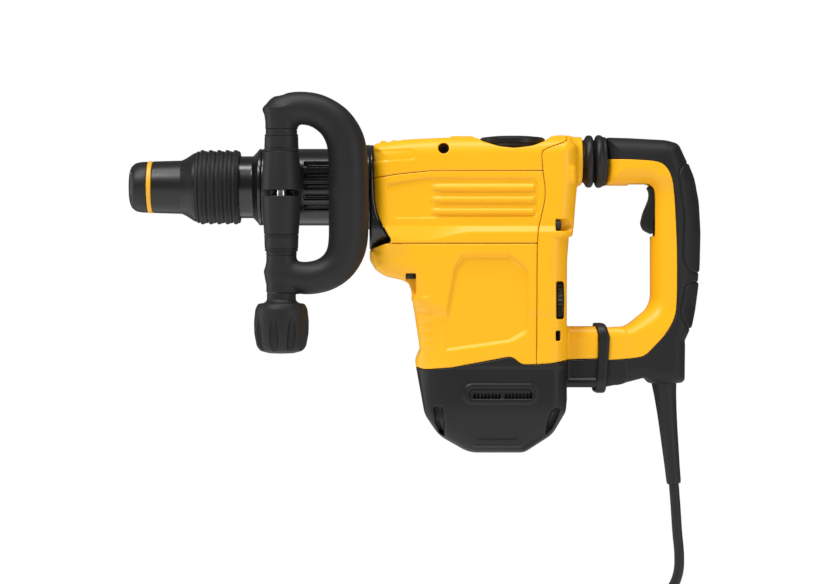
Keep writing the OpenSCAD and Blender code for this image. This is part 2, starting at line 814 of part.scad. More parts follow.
module marker_ring() {
  color(yellow) axis_tube(cap_x, marker_x, front_sleeve_r - 0.1, spindle_r);
}

module lock_sleeve() {
  color(black) turned_x([[marker_x + 0.3, spindle_r + gap], [marker_x + 0.3, front_sleeve_r], [front_sleeve_x, front_sleeve_r + 0.4],
    [cone_x, sleeve_r - 0.2], [cone_x, sleeve_r - 2.2], [sleeve_back_x, sleeve_r - 2.2], [sleeve_back_x, neck_r + 0.4],
    [sleeve_shoulder_x, neck_r + 0.4], [sleeve_shoulder_x, spindle_r + gap]]);
}

module grip_ring() {
  color(rubber) {
    axis_tube(cone_x, sleeve_back_x, sleeve_r, sleeve_r - 2.2);
    for (k = [0:4]) {
      axis_tube(cone_x + 3.4 + 6.9 * k, cone_x + 6.2 + 6.9 * k, sleeve_r + 0.9, sleeve_r - 1);
    }
  }
}

module sleeve_spring() {
  color(steel) coil_spring(sleeve_shoulder_x, neck_x, az, (spindle_r + neck_r) / 2 + 0.2, 1, 4);
}

// ---- rear handle ----

handle_outer = [
  [arm_front_x, az + 41.6], [-15.6, az + 39.9], [2, az + 35.7], [10.4, az + 18.9], [grip_back_x - 5, az + 6.3],
  [grip_back_x - 0.8, az - 14.7], [grip_back_x, 5.9], [grip_back_x - 1.7, -31.9], [grip_back_x - 4.2, -52.9],
  [grip_back_x - 8.4, -65.5], [5.4, -80], [-2, -93], [-14, -104.5], [-27, -110], [-44.2, -114.2], [arm_front_x, -117.4],
  [arm_front_x, -67.9], [-47.5, -68.5], [-39.1, -64.4], [-25.7, -53.8], [grip_front_x, -47.5], [grip_front_x, 45],
  [-24.9, az + 1.7], [arm_front_x, az + 1.7]];

handle_core = [
  [arm_front_x - 1, az + 23], [-16.5, az + 20.6], [-8, az + 15.5], [-0.5, az - 2], [2, -10], [0.8, -47.5],
  [-1.6, -60.5], [-18.5, -83], [-27.4, -90.7], [-37, -93], [arm_front_x - 1, -94.9], [-100, -95], [-100, az + 23]];

module handle_solid() {
  intersection() {
    side_prism(handle_outer, 60);
    union() {
      translate([-0.5, 0, -125]) linear_extrude(az + 175) round_rect(grip_d + 8, grip_w, 15);
      translate([arm_front_x, 0, arm_z]) rotate([0, 90, 0]) cylinder(h = 66, r = bellows_r - 0.6);
      x_bar(arm_front_x, 8, 44, 56, 13, -92);
    }
  }
  x_bar(pivot_x - 8, arm_front_x + 1, 26, 16, 4, pivot_z);
  translate([guard_x, 0, guard_z - 0.6]) rotate([0, -guard_tilt, 0]) cylinder(h = 34, r = boss_r);
}

module handle_bays() {
  translate([-1, 0, -76]) linear_extrude(az + 69) round_rect(grip_d - 14, grip_w - 10, 3);
  x_bar(arm_front_x + 22, grip_front_x + 8, 2 * bellows_r - 19, 25, 5, arm_z);
  x_bar(arm_front_x + 7, -28, 30, 20, 5, -95.5);
  span_box([grip_front_x - 12, -trigger_w / 2 - 0.3, 9], [grip_front_x + 10, trigger_w / 2 + 0.3, az + 3]);
  y_cyl(pivot_x, pivot_z, -20, 20, pivot_r + fit);
  translate([-110, 0, rod_z]) rotate([0, 90, 0]) cylinder(h = 72, r = guide_r);
  handle_screws_at(0);
  y_cyl(hinge_x, hinge_z, -trigger_w / 2 - 3.2, trigger_w / 2 + 3.2, 2 + fit);
  translate([guard_x - 2, 0, -109]) cylinder(h = 38, r = cord_d / 2 + 1);
}

handle_screw_places = [[-44, az + 12], [-16, az + 12], [-9, -70], [-38, -76], [-52, -76]];

module handle_screws_at(grow) {
  for (p = handle_screw_places) {
    y_cyl(p[0], p[1], 8, 11, 3.4 + grow);
    y_cyl(p[0], p[1], -9, 8, 1.8 + grow);
  }
}

module handle_shell(side) {
  color(yellow) difference() {
    intersection() {
      handle_solid();
      side_prism(handle_core, 100);
      span_box([-200, min(0, side * 50), -200], [200, max(0, side * 50), 200]);
    }
    handle_bays();
    for (p = handle_screw_places) {
      y_cyl(p[0], p[1], 11, 40, 3.4);
    }
  }
}

module handle_shell_left() {
  handle_shell(-1);
}

module handle_shell_right() {
  handle_shell(1);
}

module handle_overmould() {
  color(black) difference() {
    handle_solid();
    side_prism(handle_core, 100);
    handle_bays();
  }
}

module handle_screws() {
  color(steel) handle_screws_at(0);
}

module switch_module() {
  color(black) {
    span_box([hinge_x + 9.5, -grip_w / 2 + 6.5, -34], [grip_back_x - 8, grip_w / 2 - 6.5, az - 10]);
    span_box([hinge_x + 7.5, -4, az - 28], [hinge_x + 9.5, 4, az - 20]);
  }
}

module trigger() {
  front = grip_front_x;
  color(black) {
    side_prism([[front - 3.4, az + 0.4], [front - 0.8, az - 7.2], [front - 7.9, az - 28.2], [front - 7.9, az - 33.2],
      [front, az - 39.1], [front + 4, az - 38.2], [hinge_x + 0.6, az - 9], [hinge_x + 2.5, az - 1.5], [front, az]], trigger_w);
    y_cyl(hinge_x, hinge_z, -trigger_w / 2 - 3, trigger_w / 2 + 3, 2);
  }
}

module guide_rod() {
  color(steel) {
    translate([hx1 - 12, 0, rod_z]) rotate([0, 90, 0]) cylinder(h = 5.9, r = 11);
    translate([hx1 - 12, 0, rod_z]) rotate([0, 90, 0]) cylinder(h = 58, r = guide_r);
  }
}

module float_spring() {
  color(steel) coil_spring(stub_back_x, arm_front_x, rod_z, 11, 1.4, 4);
}

module upper_bellows() {
  length = arm_front_x - stub_back_x;
  color(rubber) translate([stub_back_x, 0, rod_z]) rotate([0, 90, 0]) rotate_extrude() polygon([
    [bellows_r - 5.5, 0], [bellows_r - 2.2, 0], [bellows_r, 1.6], [bellows_r, length * 0.42 - 1], [bellows_r - 2.8, length * 0.42],
    [bellows_r - 2.8, length * 0.5], [bellows_r, length * 0.5 + 1], [bellows_r, length - 1.6], [bellows_r - 2.2, length],
    [bellows_r - 5.5, length]]);
}

module lower_band() {
  color(rubber) difference() {
    x_bar(lower_stub_x, arm_front_x, 49, 56.3, 12, -93.6);
    x_bar(lower_stub_x - 1, arm_front_x + 1, 40, 47, 9, -93.6);
  }
}

module pivot_pin() {
  color(steel) y_cyl(pivot_x, pivot_z, -21, 21, pivot_r);
}

module strain_relief() {
  color(rubber) translate([guard_x, 0, guard_z]) rotate([0, 180 - guard_tilt, 0]) rotate_extrude() polygon([
    [0, -0.6], [10.6, -0.6], [10.2, 4], [8.6, guard_l * 0.13], [7.6, guard_l * 0.32], [6.9, guard_l * 0.55],
    [6.2, guard_l * 0.83], [5.8, guard_l * 0.97], [5.1, guard_l], [0, guard_l]]);
}

// ---- cord ----

lead_path = concat(
  [[exit_x - 0.3, 0, exit_z + 3], [exit_x + 0.4, 0, exit_z - 6], [exit_x + 1.6, 0, exit_z - 22],
    [exit_x + 2.6, 0, exit_z - 38]],
  [for (a = [0:10:90]) [bend_x + bend_r * cos(a), 0, bend_z - bend_r * sin(a)]],
  [[bend_x - 6, 0, lead_top_z]]);

module cord_runs() {
  color(rubber) {
    cord_tube(lead_path, cord_d / 2, [0, 1, 0]);
    cord_tube([for (x = [coil_x + 4:-9.2:tail_end_x]) [x, tail_y, tail_z]], cord_d / 2, [0, 0, 1]);
  }
}

module cord_coil() {
  color(rubber) translate([coil_x, coil_mean_r, coil_z]) rotate_extrude($fn = 48)
    translate([coil_mean_r, 0]) round_rect(coil_w, coil_h, cord_d / 2 - 0.01);
}

module cord_tie() {
  color(black) translate([coil_x - 5, 2 * coil_mean_r, coil_z]) rotate([90, 0, 90]) linear_extrude(10) difference() {
    round_rect(coil_w + 2 * tie_t + 1, coil_h + 2 * tie_t, cord_d / 2 + tie_t);
    round_rect(coil_w + 0.8, coil_h, cord_d / 2);
  }
}

module plug_body() {
  color(rubber) translate([tail_end_x + 2, tail_y, floor_z + 17.5]) rotate([0, -90, 0]) difference() {
    union() {
      translate([0, 0, 26]) cylinder(h = plug_l - 26, r = 17.5);
      translate([0, 0, 10]) cylinder(h = 16, r1 = 11, r2 = 17.5);
      translate([-12.2, 0, 0]) cylinder(h = 30, r1 = 4.9, r2 = 5.3);
      translate([-8.9, 0, 14]) cube([12, 12, 24], center = true);
    }
    for (s = [-1, 1]) {
      translate([0, s * 9.5, plug_l - 8]) cylinder(h = 20, r = 2.4);
    }
  }
}

module plug_pins() {
  color(steel) translate([tail_end_x + 2, tail_y, floor_z + 17.5]) rotate([0, -90, 0]) {
    for (s = [-1, 1]) {
      translate([0, s * 9.5, plug_l - 8]) cylinder(h = 27, r = 2.4);
    }
  }
}

// ---- controls ----

module selector_dial() {
  color(black) translate([dial_x, 0, dial_z]) {
    translate([0, 0, -8]) cylinder(h = 8, r = 6);
    translate([0, 0, -0.8]) cylinder(h = 4.3, r = dial_r);
    translate([0, 0, 3.5]) cylinder(h = 5, r1 = dial_r, r2 = dial_r - 6);
    translate([-dial_r + 3, -5, 3.5]) cube([2 * dial_r - 6, 10, 8.4]);
  }
}

module speed_wheel() {
  color(black) translate([wheel_x, wheel_y, wheel_z]) rotate([0, 90, 0]) difference() {
    cylinder(h = wheel_h, r = wheel_r, center = true);
    for (k = [0:35]) {
      rotate([0, 0, 10 * k]) translate([wheel_r, 0, 0]) cylinder(h = wheel_h + 1, r = 0.9, center = true, $fn = 8);
    }
  }
}

// ---- side handle ----

module clamp_band() {
  color(black) difference() {
    axis_tube(column_x - band_w / 2, column_x + band_w / 2, barrel_r + 0.1 + band_t, barrel_r + 0.1);
    span_box([column_x - 20, -60, split_z - jaw_gap / 2], [column_x + 20, 0, split_z + jaw_gap / 2]);
  }
}

module column_bore() {
  translate([column_x, -side_y, -150]) cylinder(h = 350, r = bolt_r + fit);
}

module jaw_root(z0, z1) {
  span_box([column_x - 12.5, -side_y, min(z0, z1)], [column_x + 12.5, -15, max(z0, z1)]);
}

module clamp_jaws() {
  upper = split_z + jaw_gap / 2;
  lower = split_z - jaw_gap / 2;
  color(black) difference() {
    union() {
      translate([column_x, -side_y, upper]) cylinder(h = upper_jaw_z - upper, r1 = jaw_r, r2 = jaw_end_r);
      translate([column_x, -side_y, lower_jaw_z]) cylinder(h = lower - lower_jaw_z, r1 = jaw_end_r, r2 = jaw_r);
      jaw_root(upper, upper + 20);
      jaw_root(lower, lower - 20);
    }
    axis_cyl(column_x - 30, column_x + 30, barrel_r + 0.1 + band_t);
    column_bore();
  }
}

module clamp_bolt() {
  color(steel) translate([column_x, -side_y, 0]) {
    translate([0, 0, knob_top_z - 30]) cylinder(h = arm_up_z - knob_top_z + 30, r = bolt_r);
    translate([0, 0, arm_up_z]) cylinder(h = 5, r = 7, $fn = 6);
  }
}

module detent_rings() {
  color(black) difference() {
    union() {
      translate([column_x, -side_y, upper_jaw_z + gap]) cylinder(h = 11, r = jaw_end_r);
      translate([column_x, -side_y, upper_jaw_z + 11]) cylinder(h = eye_up_z - upper_jaw_z - 11, r = 13.3);
      translate([column_x, -side_y, lower_jaw_z - gap - 11]) cylinder(h = 11, r = jaw_end_r);
      translate([column_x, -side_y, loop_low_z]) cylinder(h = lower_jaw_z - 11 - loop_low_z, r = 13.3);
    }
    column_bore();
  }
}

module elbow(z, up) {
  translate([column_x + loop_reach - 16, -side_y, z]) rotate([90, 0, 0]) rotate([0, 0, up ? 0 : -90])
    rotate_extrude(angle = 90) translate([16, 0]) circle(13.8);
}

module side_grip() {
  gx = column_x + loop_reach;
  color(black) difference() {
    union() {
      translate([gx, -side_y, arm_low_z + 16]) cylinder(h = arm_up_z - arm_low_z - 32, r = side_grip_r - 0.6);
      translate([gx, -side_y, arm_low_z + 30]) cylinder(h = arm_up_z - arm_low_z - 60, r = side_grip_r);
      elbow(arm_up_z - 16, true);
      elbow(arm_low_z + 16, false);
      for (z = [arm_low_z, arm_up_z]) {
        translate([column_x - 2, -side_y, z]) rotate([0, 90, 0]) cylinder(h = loop_reach - 14, r = arm_r);
      }
      translate([column_x, -side_y, eye_up_z]) cylinder(h = arm_up_z + 4 - eye_up_z, r = 12.7);
      translate([column_x, -side_y, arm_low_z - arm_r]) cylinder(h = 2 * arm_r, r = 12.7);
    }
    column_bore();
    translate([column_x, -side_y, arm_up_z]) cylinder(h = 40, r = 8);
  }
}

module thrust_washer() {
  color(steel) translate([column_x, -side_y, washer_z]) difference() {
    cylinder(h = 1.9, r = 10);
    translate([0, 0, -1]) cylinder(h = 4, r = bolt_r + fit);
  }
}

module clamp_knob() {
  color(black) translate([column_x, -side_y, knob_top_z - knob_h]) difference() {
    union() {
      translate([0, 0, knob_h - 1]) cylinder(h = knob_stem_h + 1, r = 11.9);
      rotate_extrude() polygon([[0, 0], [knob_r * 0.5, 1.2], [knob_r * 0.8, 4], [knob_r * 0.94, 9], [knob_r, 20],
        [knob_r, knob_h - 10], [knob_r * 0.96, knob_h - 3], [knob_r * 0.86, knob_h], [0, knob_h]]);
    }
    translate([0, 0, knob_h - 31]) cylinder(h = 60, r = bolt_r + fit);
    for (k = [0:7]) {
      rotate([0, 0, 45 * k]) translate([knob_r + 4, 0, 8]) cylinder(h = knob_h - 16, r = 6);
    }
  }
}

handle_shell_left();
handle_shell_right();
handle_overmould();
handle_screws();
switch_module();
guide_rod();
float_spring();
upper_bellows();
lower_band();
strain_relief();
cord_runs();
cord_coil();
cord_tie();
plug_body();
plug_pins();
trigger();
motor_housing();
gearbox_shroud();
top_cover();
rear_cover();
base_cap();
front_collar();
gearbox_casting();
barrel();
barrel_nose();
cylinder_sleeve();
field_stator();
field_coils();
brush_carrier();
carbon_brushes();
ball_bearings();
control_board();
housing_screws();
pivot_pin();
selector_dial();
speed_wheel();
rotor_shaft();
armature();
commutator();
cooling_fan();
crank_gear();
piston();
wrist_pin();
connecting_rod();
striker();
anvil();
spindle_tube();
lock_rollers();
dust_cap();
marker_ring();
lock_sleeve();
grip_ring();
sleeve_spring();
clamp_band();
clamp_jaws();
clamp_bolt();
side_grip();
detent_rings();
thrust_washer();
clamp_knob();
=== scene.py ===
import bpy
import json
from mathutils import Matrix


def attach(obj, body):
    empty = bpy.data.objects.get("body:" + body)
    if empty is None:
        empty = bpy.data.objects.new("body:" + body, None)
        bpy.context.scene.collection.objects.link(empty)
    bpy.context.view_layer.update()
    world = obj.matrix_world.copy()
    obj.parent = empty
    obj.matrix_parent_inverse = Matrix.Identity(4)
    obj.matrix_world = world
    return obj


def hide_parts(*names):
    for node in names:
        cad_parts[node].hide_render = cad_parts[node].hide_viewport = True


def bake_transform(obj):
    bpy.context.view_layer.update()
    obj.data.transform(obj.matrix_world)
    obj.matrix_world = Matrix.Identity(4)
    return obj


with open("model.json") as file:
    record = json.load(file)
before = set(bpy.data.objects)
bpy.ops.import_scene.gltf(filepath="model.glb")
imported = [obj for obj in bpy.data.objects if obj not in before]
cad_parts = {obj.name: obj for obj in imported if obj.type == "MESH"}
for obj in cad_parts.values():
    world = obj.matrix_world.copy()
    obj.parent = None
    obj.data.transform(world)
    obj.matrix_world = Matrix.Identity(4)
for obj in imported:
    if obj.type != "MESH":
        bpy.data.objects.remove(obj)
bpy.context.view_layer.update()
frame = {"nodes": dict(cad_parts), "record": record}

import json
import math
import bpy
import numpy as np
import openvdb
from mathutils import Matrix, Vector

MM = 0.001
F = np.float32

# ---------------------------------------------------------------- camera and cord

AXIS_Z = 50.0
FLOOR_Z = -336.0
CORD_D = 8.4
COIL_X, COIL_Y = -37.0, 50.0
COIL_R = 50.0
TIE_T = 1.2
EXIT = (-10 + 86.8 * math.sin(math.radians(5.6)), 0.0, -112.6 - 86.8 * math.cos(math.radians(5.6)))

camera_data = bpy.data.cameras.new("camera")
camera = bpy.data.objects.new("camera", camera_data)
bpy.context.scene.collection.objects.link(camera)
camera.location = (-0.219, -2.15, -0.038)
camera.rotation_euler = (math.radians(90), 0, 0)
camera_data.sensor_width = 36
camera_data.lens = 111
camera_data.clip_end = 60
bpy.context.scene.camera = camera


def link(obj):
    bpy.context.scene.collection.objects.link(obj)
    return obj


def cord_route():
    """Hanging run, bend, flat coil three wide and four high, and the tail to the plug, in mm."""
    pts = [(EXIT[0] - 0.3, 0, EXIT[2] + 3), (EXIT[0] + 0.4, 0, EXIT[2] - 6),
        (EXIT[0] + 1.6, 0, EXIT[2] - 22),
           (EXIT[0] + 2.6, 0, EXIT[2] - 38)]
    low = FLOOR_Z + TIE_T + CORD_D / 2
    top = low + 3 * CORD_D
    bend_z = top + 40
    for a in range(0, 91, 15):
        t = math.radians(a)
        pts.append((COIL_X + 40 * math.cos(t), 0, bend_z - 40 * math.sin(t)))
    radii = [COIL_R + CORD_D * k for k in (-1, 0, 1)]
    steps = 16
    # turns as (ring, layer), from the top layer's middle turn, which the lead joins, to the bottom
    order = [(1, 3), (0, 3), (0, 2), (1, 2), (2, 3), (2, 2), (2, 1), (1, 1), (0, 1), (0, 0), (1, 0),
        (2, 0)]
    for n, (ring, layer) in enumerate(order):
        here = (radii[ring], low + layer * CORD_D)
        after = order[n + 1] if n + 1 < len(order) else (ring, layer)
        there = (radii[after[0]], low + after[1] * CORD_D)
        for k in range(1 if n == 0 else 0, steps):
            f = max(0.0, (k / steps - 0.6) / 0.4)
            f = f * f * (3 - 2 * f)
            a = -math.pi / 2 - 2 * math.pi * k / steps
            r = here[0] + (there[0] - here[0]) * f
            z = here[1] + (there[1] - here[1]) * f
            pts.append((COIL_X + r * math.cos(a), COIL_Y + r * math.sin(a), z))
    end_y = COIL_Y - radii[2]
    pts.append((COIL_X, end_y, low))
    for x in (-52, -68, -84, -100, -114):
        pts.append((x, end_y, low))
    return pts


def cord_curve(name, pts, diameter):
    data = bpy.data.curves.new(name, "CURVE")
    data.dimensions = "3D"
    data.bevel_depth = diameter / 2 * MM
    data.bevel_resolution = 5
    data.resolution_u = 4
    data.use_fill_caps = True
    spline = data.splines.new("BEZIER")
    spline.bezier_points.add(len(pts) - 1)
    for b, p in zip(spline.bezier_points, pts):
        b.co = Vector(p) * MM
        b.handle_left_type = b.handle_right_type = "AUTO"
    return link(bpy.data.objects.new(name, data))


cord = cord_curve("power_cord", cord_route(), CORD_D)

# ---------------------------------------------------------------- materials


def node_material(name, base, rough=0.4, grain=900.0, bump=0.15, mottle=0.06, coat=0.0, metal=0.0,
                  speck=0.0, edge=0.0, scratches=0.0, spec=0.5):
    """Moulded or machined surface: mottled colour, varied roughness, fine grain and worn edges."""
    m = bpy.data.materials.new(name)
    m.use_nodes = True
    t = m.node_tree
    bsdf = t.nodes["Principled BSDF"]
    bsdf.inputs["Metallic"].default_value = metal
    bsdf.inputs["Coat Weight"].default_value = coat
    bsdf.inputs["Coat Roughness"].default_value = 0.25
    bsdf.inputs["Specular IOR Level"].default_value = spec

    def add(kind, **values):
        n = t.nodes.new(kind)
        for k, v in values.items():
            setattr(n, k, v)
        return n

    coords = add("ShaderNodeTexCoord")
    big = add("ShaderNodeTexNoise")
    big.inputs["Scale"].default_value = 18
    big.inputs["Detail"].default_value = 4
    fine = add("ShaderNodeTexNoise")
    fine.inputs["Scale"].default_value = grain
    fine.inputs["Detail"].default_value = 2
    for n in (big, fine):
        t.links.new(coords.outputs["Object"], n.inputs["Vector"])

    dark = tuple(c * (1 - mottle) for c in base) + (1,)
    light = tuple(min(1.0, c * (1 + mottle)) for c in base) + (1,)
    tint = add("ShaderNodeValToRGB")
    tint.color_ramp.elements[0].color = dark
    tint.color_ramp.elements[1].color = light
    tint.color_ramp.elements[0].position = 0.3
    tint.color_ramp.elements[1].position = 0.7
    t.links.new(big.outputs["Fac"], tint.inputs["Fac"])
    colour = tint.outputs["Color"]
    if edge:
        geo = add("ShaderNodeNewGeometry")
        worn = add("ShaderNodeMapRange")
        worn.inputs["From Min"].default_value = 0.53
        worn.inputs["From Max"].default_value = 0.62
        worn.inputs["To Max"].default_value = edge
        t.links.new(geo.outputs["Pointiness"], worn.inputs["Value"])
        mix = add("ShaderNodeMix", data_type="RGBA")
        mix.inputs[7].default_value = tuple(min(1.0, c * 1.5 + 0.05) for c in base) + (1,)
        t.links.new(worn.outputs["Result"], mix.inputs[0])
        t.links.new(colour, mix.inputs[6])
        colour = mix.outputs[2]
    t.links.new(colour, bsdf.inputs["Base Color"])

    rr = add("ShaderNodeMapRange")
    rr.inputs["To Min"].default_value = max(0.02, rough - 0.06)
    rr.inputs["To Max"].default_value = rough + 0.08
    t.links.new(big.outputs["Fac"], rr.inputs["Value"])
    t.links.new(rr.outputs["Result"], bsdf.inputs["Roughness"])

    height = fine.outputs["Fac"]
    if scratches:
        wave = add("ShaderNodeTexNoise")
        stretch = add("ShaderNodeMapping")
        stretch.inputs["Scale"].default_value = (30, 900, 900)
        wave.inputs["Scale"].default_value = 1
        t.links.new(coords.outputs["Object"], stretch.inputs["Vector"])
        t.links.new(stretch.outputs["Vector"], wave.inputs["Vector"])
        both = add("ShaderNodeMath", operation="MULTIPLY_ADD")
        both.inputs[1].default_value = scratches
        t.links.new(wave.outputs["Fac"], both.inputs[0])
        t.links.new(height, both.inputs[2])
        height = both.outputs[0]
    b = add("ShaderNodeBump")
    b.inputs["Strength"].default_value = bump
    b.inputs["Distance"].default_value = 0.0003
    t.links.new(height, b.inputs["Height"])
    t.links.new(b.outputs["Normal"], bsdf.inputs["Normal"])
    return m


YELLOW = node_material("yellow_plastic", (0.93, 0.46, 0.006), rough=0.38, grain=1400, bump=0.04,
    mottle=0.012, spec=0.35)
BLACK = node_material("black_plastic", (0.0105, 0.0105, 0.011), rough=0.4, grain=1500, bump=0.08,
    mottle=0.12, edge=0.2, spec=0.28)
SOFT = node_material("black_overmould", (0.0125, 0.0125, 0.013), rough=0.52, grain=1900, bump=0.12,
    mottle=0.1, edge=0.12, spec=0.25)
GRIP = node_material("grained_black", (0.0135, 0.0135, 0.014), rough=0.5, grain=2200, bump=0.22,
    mottle=0.12, edge=0.15, spec=0.28)
GLOSS = node_material("painted_barrel", (0.006, 0.006, 0.0065), rough=0.24, grain=700, bump=0.05,
    mottle=0.15, coat=0.3, spec=0.4)
SLEEVE = node_material("sleeve_black", (0.0085, 0.0085, 0.009), rough=0.34, grain=1600, bump=0.08,
    mottle=0.12, edge=0.15, spec=0.4)
RUBBER = node_material("rubber_black", (0.0085, 0.0085, 0.009), rough=0.45, grain=1200, bump=0.1,
    mottle=0.15, edge=0.1, spec=0.36)
CORDM = node_material("cord_sheath", (0.0105, 0.0105, 0.011), rough=0.48, grain=900, bump=0.15,
    mottle=0.15, spec=0.36)
STEEL = node_material("ground_steel", (0.55, 0.55, 0.56), rough=0.25, grain=500, bump=0.05, mottle=0.1,
    metal=1, scratches=0.6)
LAMINATE = node_material("sheet_steel", (0.34, 0.35, 0.37), rough=0.42, grain=400, bump=0.2,
    mottle=0.15, metal=1)
ALLOY = node_material("cast_alloy", (0.62, 0.63, 0.65), rough=0.5, grain=300, bump=0.5, mottle=0.08,
    metal=1)
COPPER = node_material("varnished_copper", (0.62, 0.27, 0.12), rough=0.3, grain=500, bump=0.2,
    mottle=0.2, metal=1)
CARBON = node_material("pressed_carbon", (0.03, 0.03, 0.03), rough=0.7, grain=900, bump=0.3, mottle=0.2)
BOARD = node_material("circuit_board", (0.02, 0.16, 0.07), rough=0.3, grain=300, bump=0.1, mottle=0.2)
MARK = node_material("yellow_ring", (0.86, 0.42, 0.02), rough=0.4, grain=900, bump=0.1, mottle=0.03)
# near-black used as painted shade: it colours the cover screws deep in their holes and the steel thrust
# washer and pivot pin in their gaps
SHADE_BLACK = node_material("painted_shade_black", (0.008, 0.008, 0.008), rough=0.6, grain=900, bump=0.1, mottle=0.1)

SLOT_MATERIAL = {
    "shell_yellow": YELLOW, "soft_black": SOFT, "hard_black": BLACK, "grip_black": GRIP,
        "barrel_black": GLOSS,
    "rubber": RUBBER, "cord_rubber": CORDM, "steel": STEEL, "lamination": LAMINATE, "alloy": ALLOY,
    "copper": COPPER, "carbon": CARBON, "board_green": BOARD}

for part in frame["record"]["subparts"]:
    obj = frame["nodes"][part["node"]]
    obj.data.materials.clear()
    obj.data.materials.append(SLOT_MATERIAL[part["material_slot"]])
# the steel thrust washer and pivot pin are coloured near-black as painted shade in the gaps where they
# show
for name in ("thrust_washer", "pivot_pin"):
    frame["nodes"][name].data.materials[0] = SHADE_BLACK

# ---------------------------------------------------------------- distance fields


class Grid:
    """Evenly spaced sample points, in mm, as three arrays that broadcast to a block."""

    def __init__(self, low, high, step):
        self.low, self.step = np.array(low, float), step
        count = np.ceil((np.array(high) - self.low) / step).astype(int) + 1
        self.x = (low[0] + step * np.arange(count[0])).astype(F)[:, None, None]
        self.y = (low[1] + step * np.arange(count[1])).astype(F)[None, :, None]
        self.z = (low[2] + step * np.arange(count[2])).astype(F)[None, None, :]


def ramp(v, a, b):
    t = np.clip((v - a) / (b - a), 0, 1)
    return t * t * (3 - 2 * t)


def meet(a, b, r=0.0):
    """Intersection, with its outer edge rounded to radius r."""
    if np.ndim(r) == 0 and not r:
        return np.maximum(a, b)
    return np.minimum(-r, np.maximum(a, b)) + np.hypot(np.maximum(a + r, 0), np.maximum(b + r, 0))


def cut(a, b, r=0.0):
    """a with b taken out."""
    return meet(a, -b, r)


def join(a, b, r=0.0):
    """Union, with its inner corner filled to radius r."""
    if not r:
        return np.minimum(a, b)
    return np.maximum(r, np.minimum(a, b)) - np.hypot(np.maximum(r - a, 0), np.maximum(r - b, 0))


def fillet(points, default=0.0):
    """Polygon with each corner (x, z, radius) turned into an arc."""
    pts = [(p[0], p[1], p[2] if len(p) > 2 else default) for p in points]
    out = []
    for i, (x, z, r) in enumerate(pts):
        p = np.array([x, z])
        a = np.array(pts[i - 1][:2]) - p
        b = np.array(pts[(i + 1) % len(pts)][:2]) - p
        la, lb = np.linalg.norm(a), np.linalg.norm(b)
        if r <= 0 or la < 1e-6 or lb < 1e-6:
            out.append(p)
            continue
        a, b = a / la, b / lb
        half = math.acos(max(-1, min(1, float(a @ b)))) / 2
        if half > math.radians(89):
            out.append(p)
            continue
        run = min(r / math.tan(half), la * 0.49, lb * 0.49)
        r = run * math.tan(half)
        mid = (a + b) / np.linalg.norm(a + b)
        c = p + mid * r / math.sin(half)
        s, e = p + a * run - c, p + b * run - c
        turn = math.atan2(s[0] * e[1] - s[1] * e[0], float(s @ e))
        n = max(2, int(abs(turn) / math.radians(9)) + 1)
        for k in range(n + 1):
            w = turn * k / n
            out.append(c + np.array([s[0] * math.cos(w) - s[1] * math.sin(w),
                s[0] * math.sin(w) + s[1] * math.cos(w)]))
    return np.array(out)


def polygon(points, u, v):
    """Signed distance to a closed outline, over the sample points u and v."""
    p = np.asarray(points, float)
    d = np.full(np.broadcast(u, v).shape, 1e9, F)
    inside = np.zeros(d.shape, bool)
    for a, b in zip(p, np.roll(p, -1, 0)):
        e = b - a
        wu, wv = u - a[0], v - a[1]
        t = np.clip((wu * e[0] + wv * e[1]) / max(e @ e, 1e-12), 0, 1)
        d = np.minimum(d, (wu - e[0] * t) ** 2 + (wv - e[1] * t) ** 2)
        if a[1] != b[1]:
            inside ^= ((a[1] > v) != (b[1] > v)) & (wu < e[0] * wv / e[1])
    d = np.sqrt(d)
    return np.where(inside, -d, d).astype(F)


def block(g, low, high, r=0.0):
    """Box between two corners, edges rounded to r."""
    c = [(a + b) / 2 for a, b in zip(low, high)]
    s = [(b - a) / 2 - r for a, b in zip(low, high)]
    q = [np.abs(v - m) - k for v, m, k in zip((g.x, g.y, g.z), c, s)]
    outer = np.sqrt(np.maximum(q[0], 0) ** 2 + np.maximum(q[1], 0) ** 2 + np.maximum(q[2], 0) ** 2)
    return outer + np.minimum(np.maximum(np.maximum(q[0], q[1]), q[2]), 0) - r


def rod_x(g, y, z, r, x0, x1, edge=0.0):
    return meet(np.hypot(g.y - y, g.z - z) - r, np.maximum(x0 - g.x, g.x - x1), edge)


def rod_y(g, x, z, r, y0, y1, edge=0.0):
    return meet(np.hypot(g.x - x, g.z - z) - r, np.maximum(y0 - g.y, g.y - y1), edge)


def rod_z(g, x, y, r, z0, z1, edge=0.0):
    return meet(np.hypot(g.x - x, g.y - y) - r, np.maximum(z0 - g.z, g.z - z1), edge)


def tube(g, path, blend=0.0):
    """Round tube through (x, y, z, r) points."""
    d = None
    for a, b in zip(path[:-1], path[1:]):
        e = [b[k] - a[k] for k in range(3)]
        length2 = sum(v * v for v in e)
        t = np.clip(((g.x - a[0]) * e[0] + (g.y - a[1]) * e[1] + (g.z - a[2]) * e[2]) / length2, 0, 1)
        r = a[3] + (b[3] - a[3]) * t
        s = np.sqrt((g.x - a[0] - e[0] * t) ** 2 + (g.y - a[1] - e[1] * t) ** 2 + (g.z - a[2] - e[2]
            * t) ** 2) - r
        d = s if d is None else join(d, s, blend)
    return d


def smooth_path(points, per=6):
    """Catmull-Rom line through points of any width."""
    p = np.array(points, float)
    out = []
    for i in range(len(p) - 1):
        a, b, c, d = p[max(i - 1, 0)], p[i], p[i + 1], p[min(i + 2, len(p) - 1)]
        for k in range(per):
            t = k / per
            out.append(0.5 * (2 * b + (c - a) * t + (2 * a - 5 * b + 4 * c - d) * t * t + (3 * b - a
                - 3 * c + d) * t ** 3))
    out.append(p[-1])
    return np.array(out)


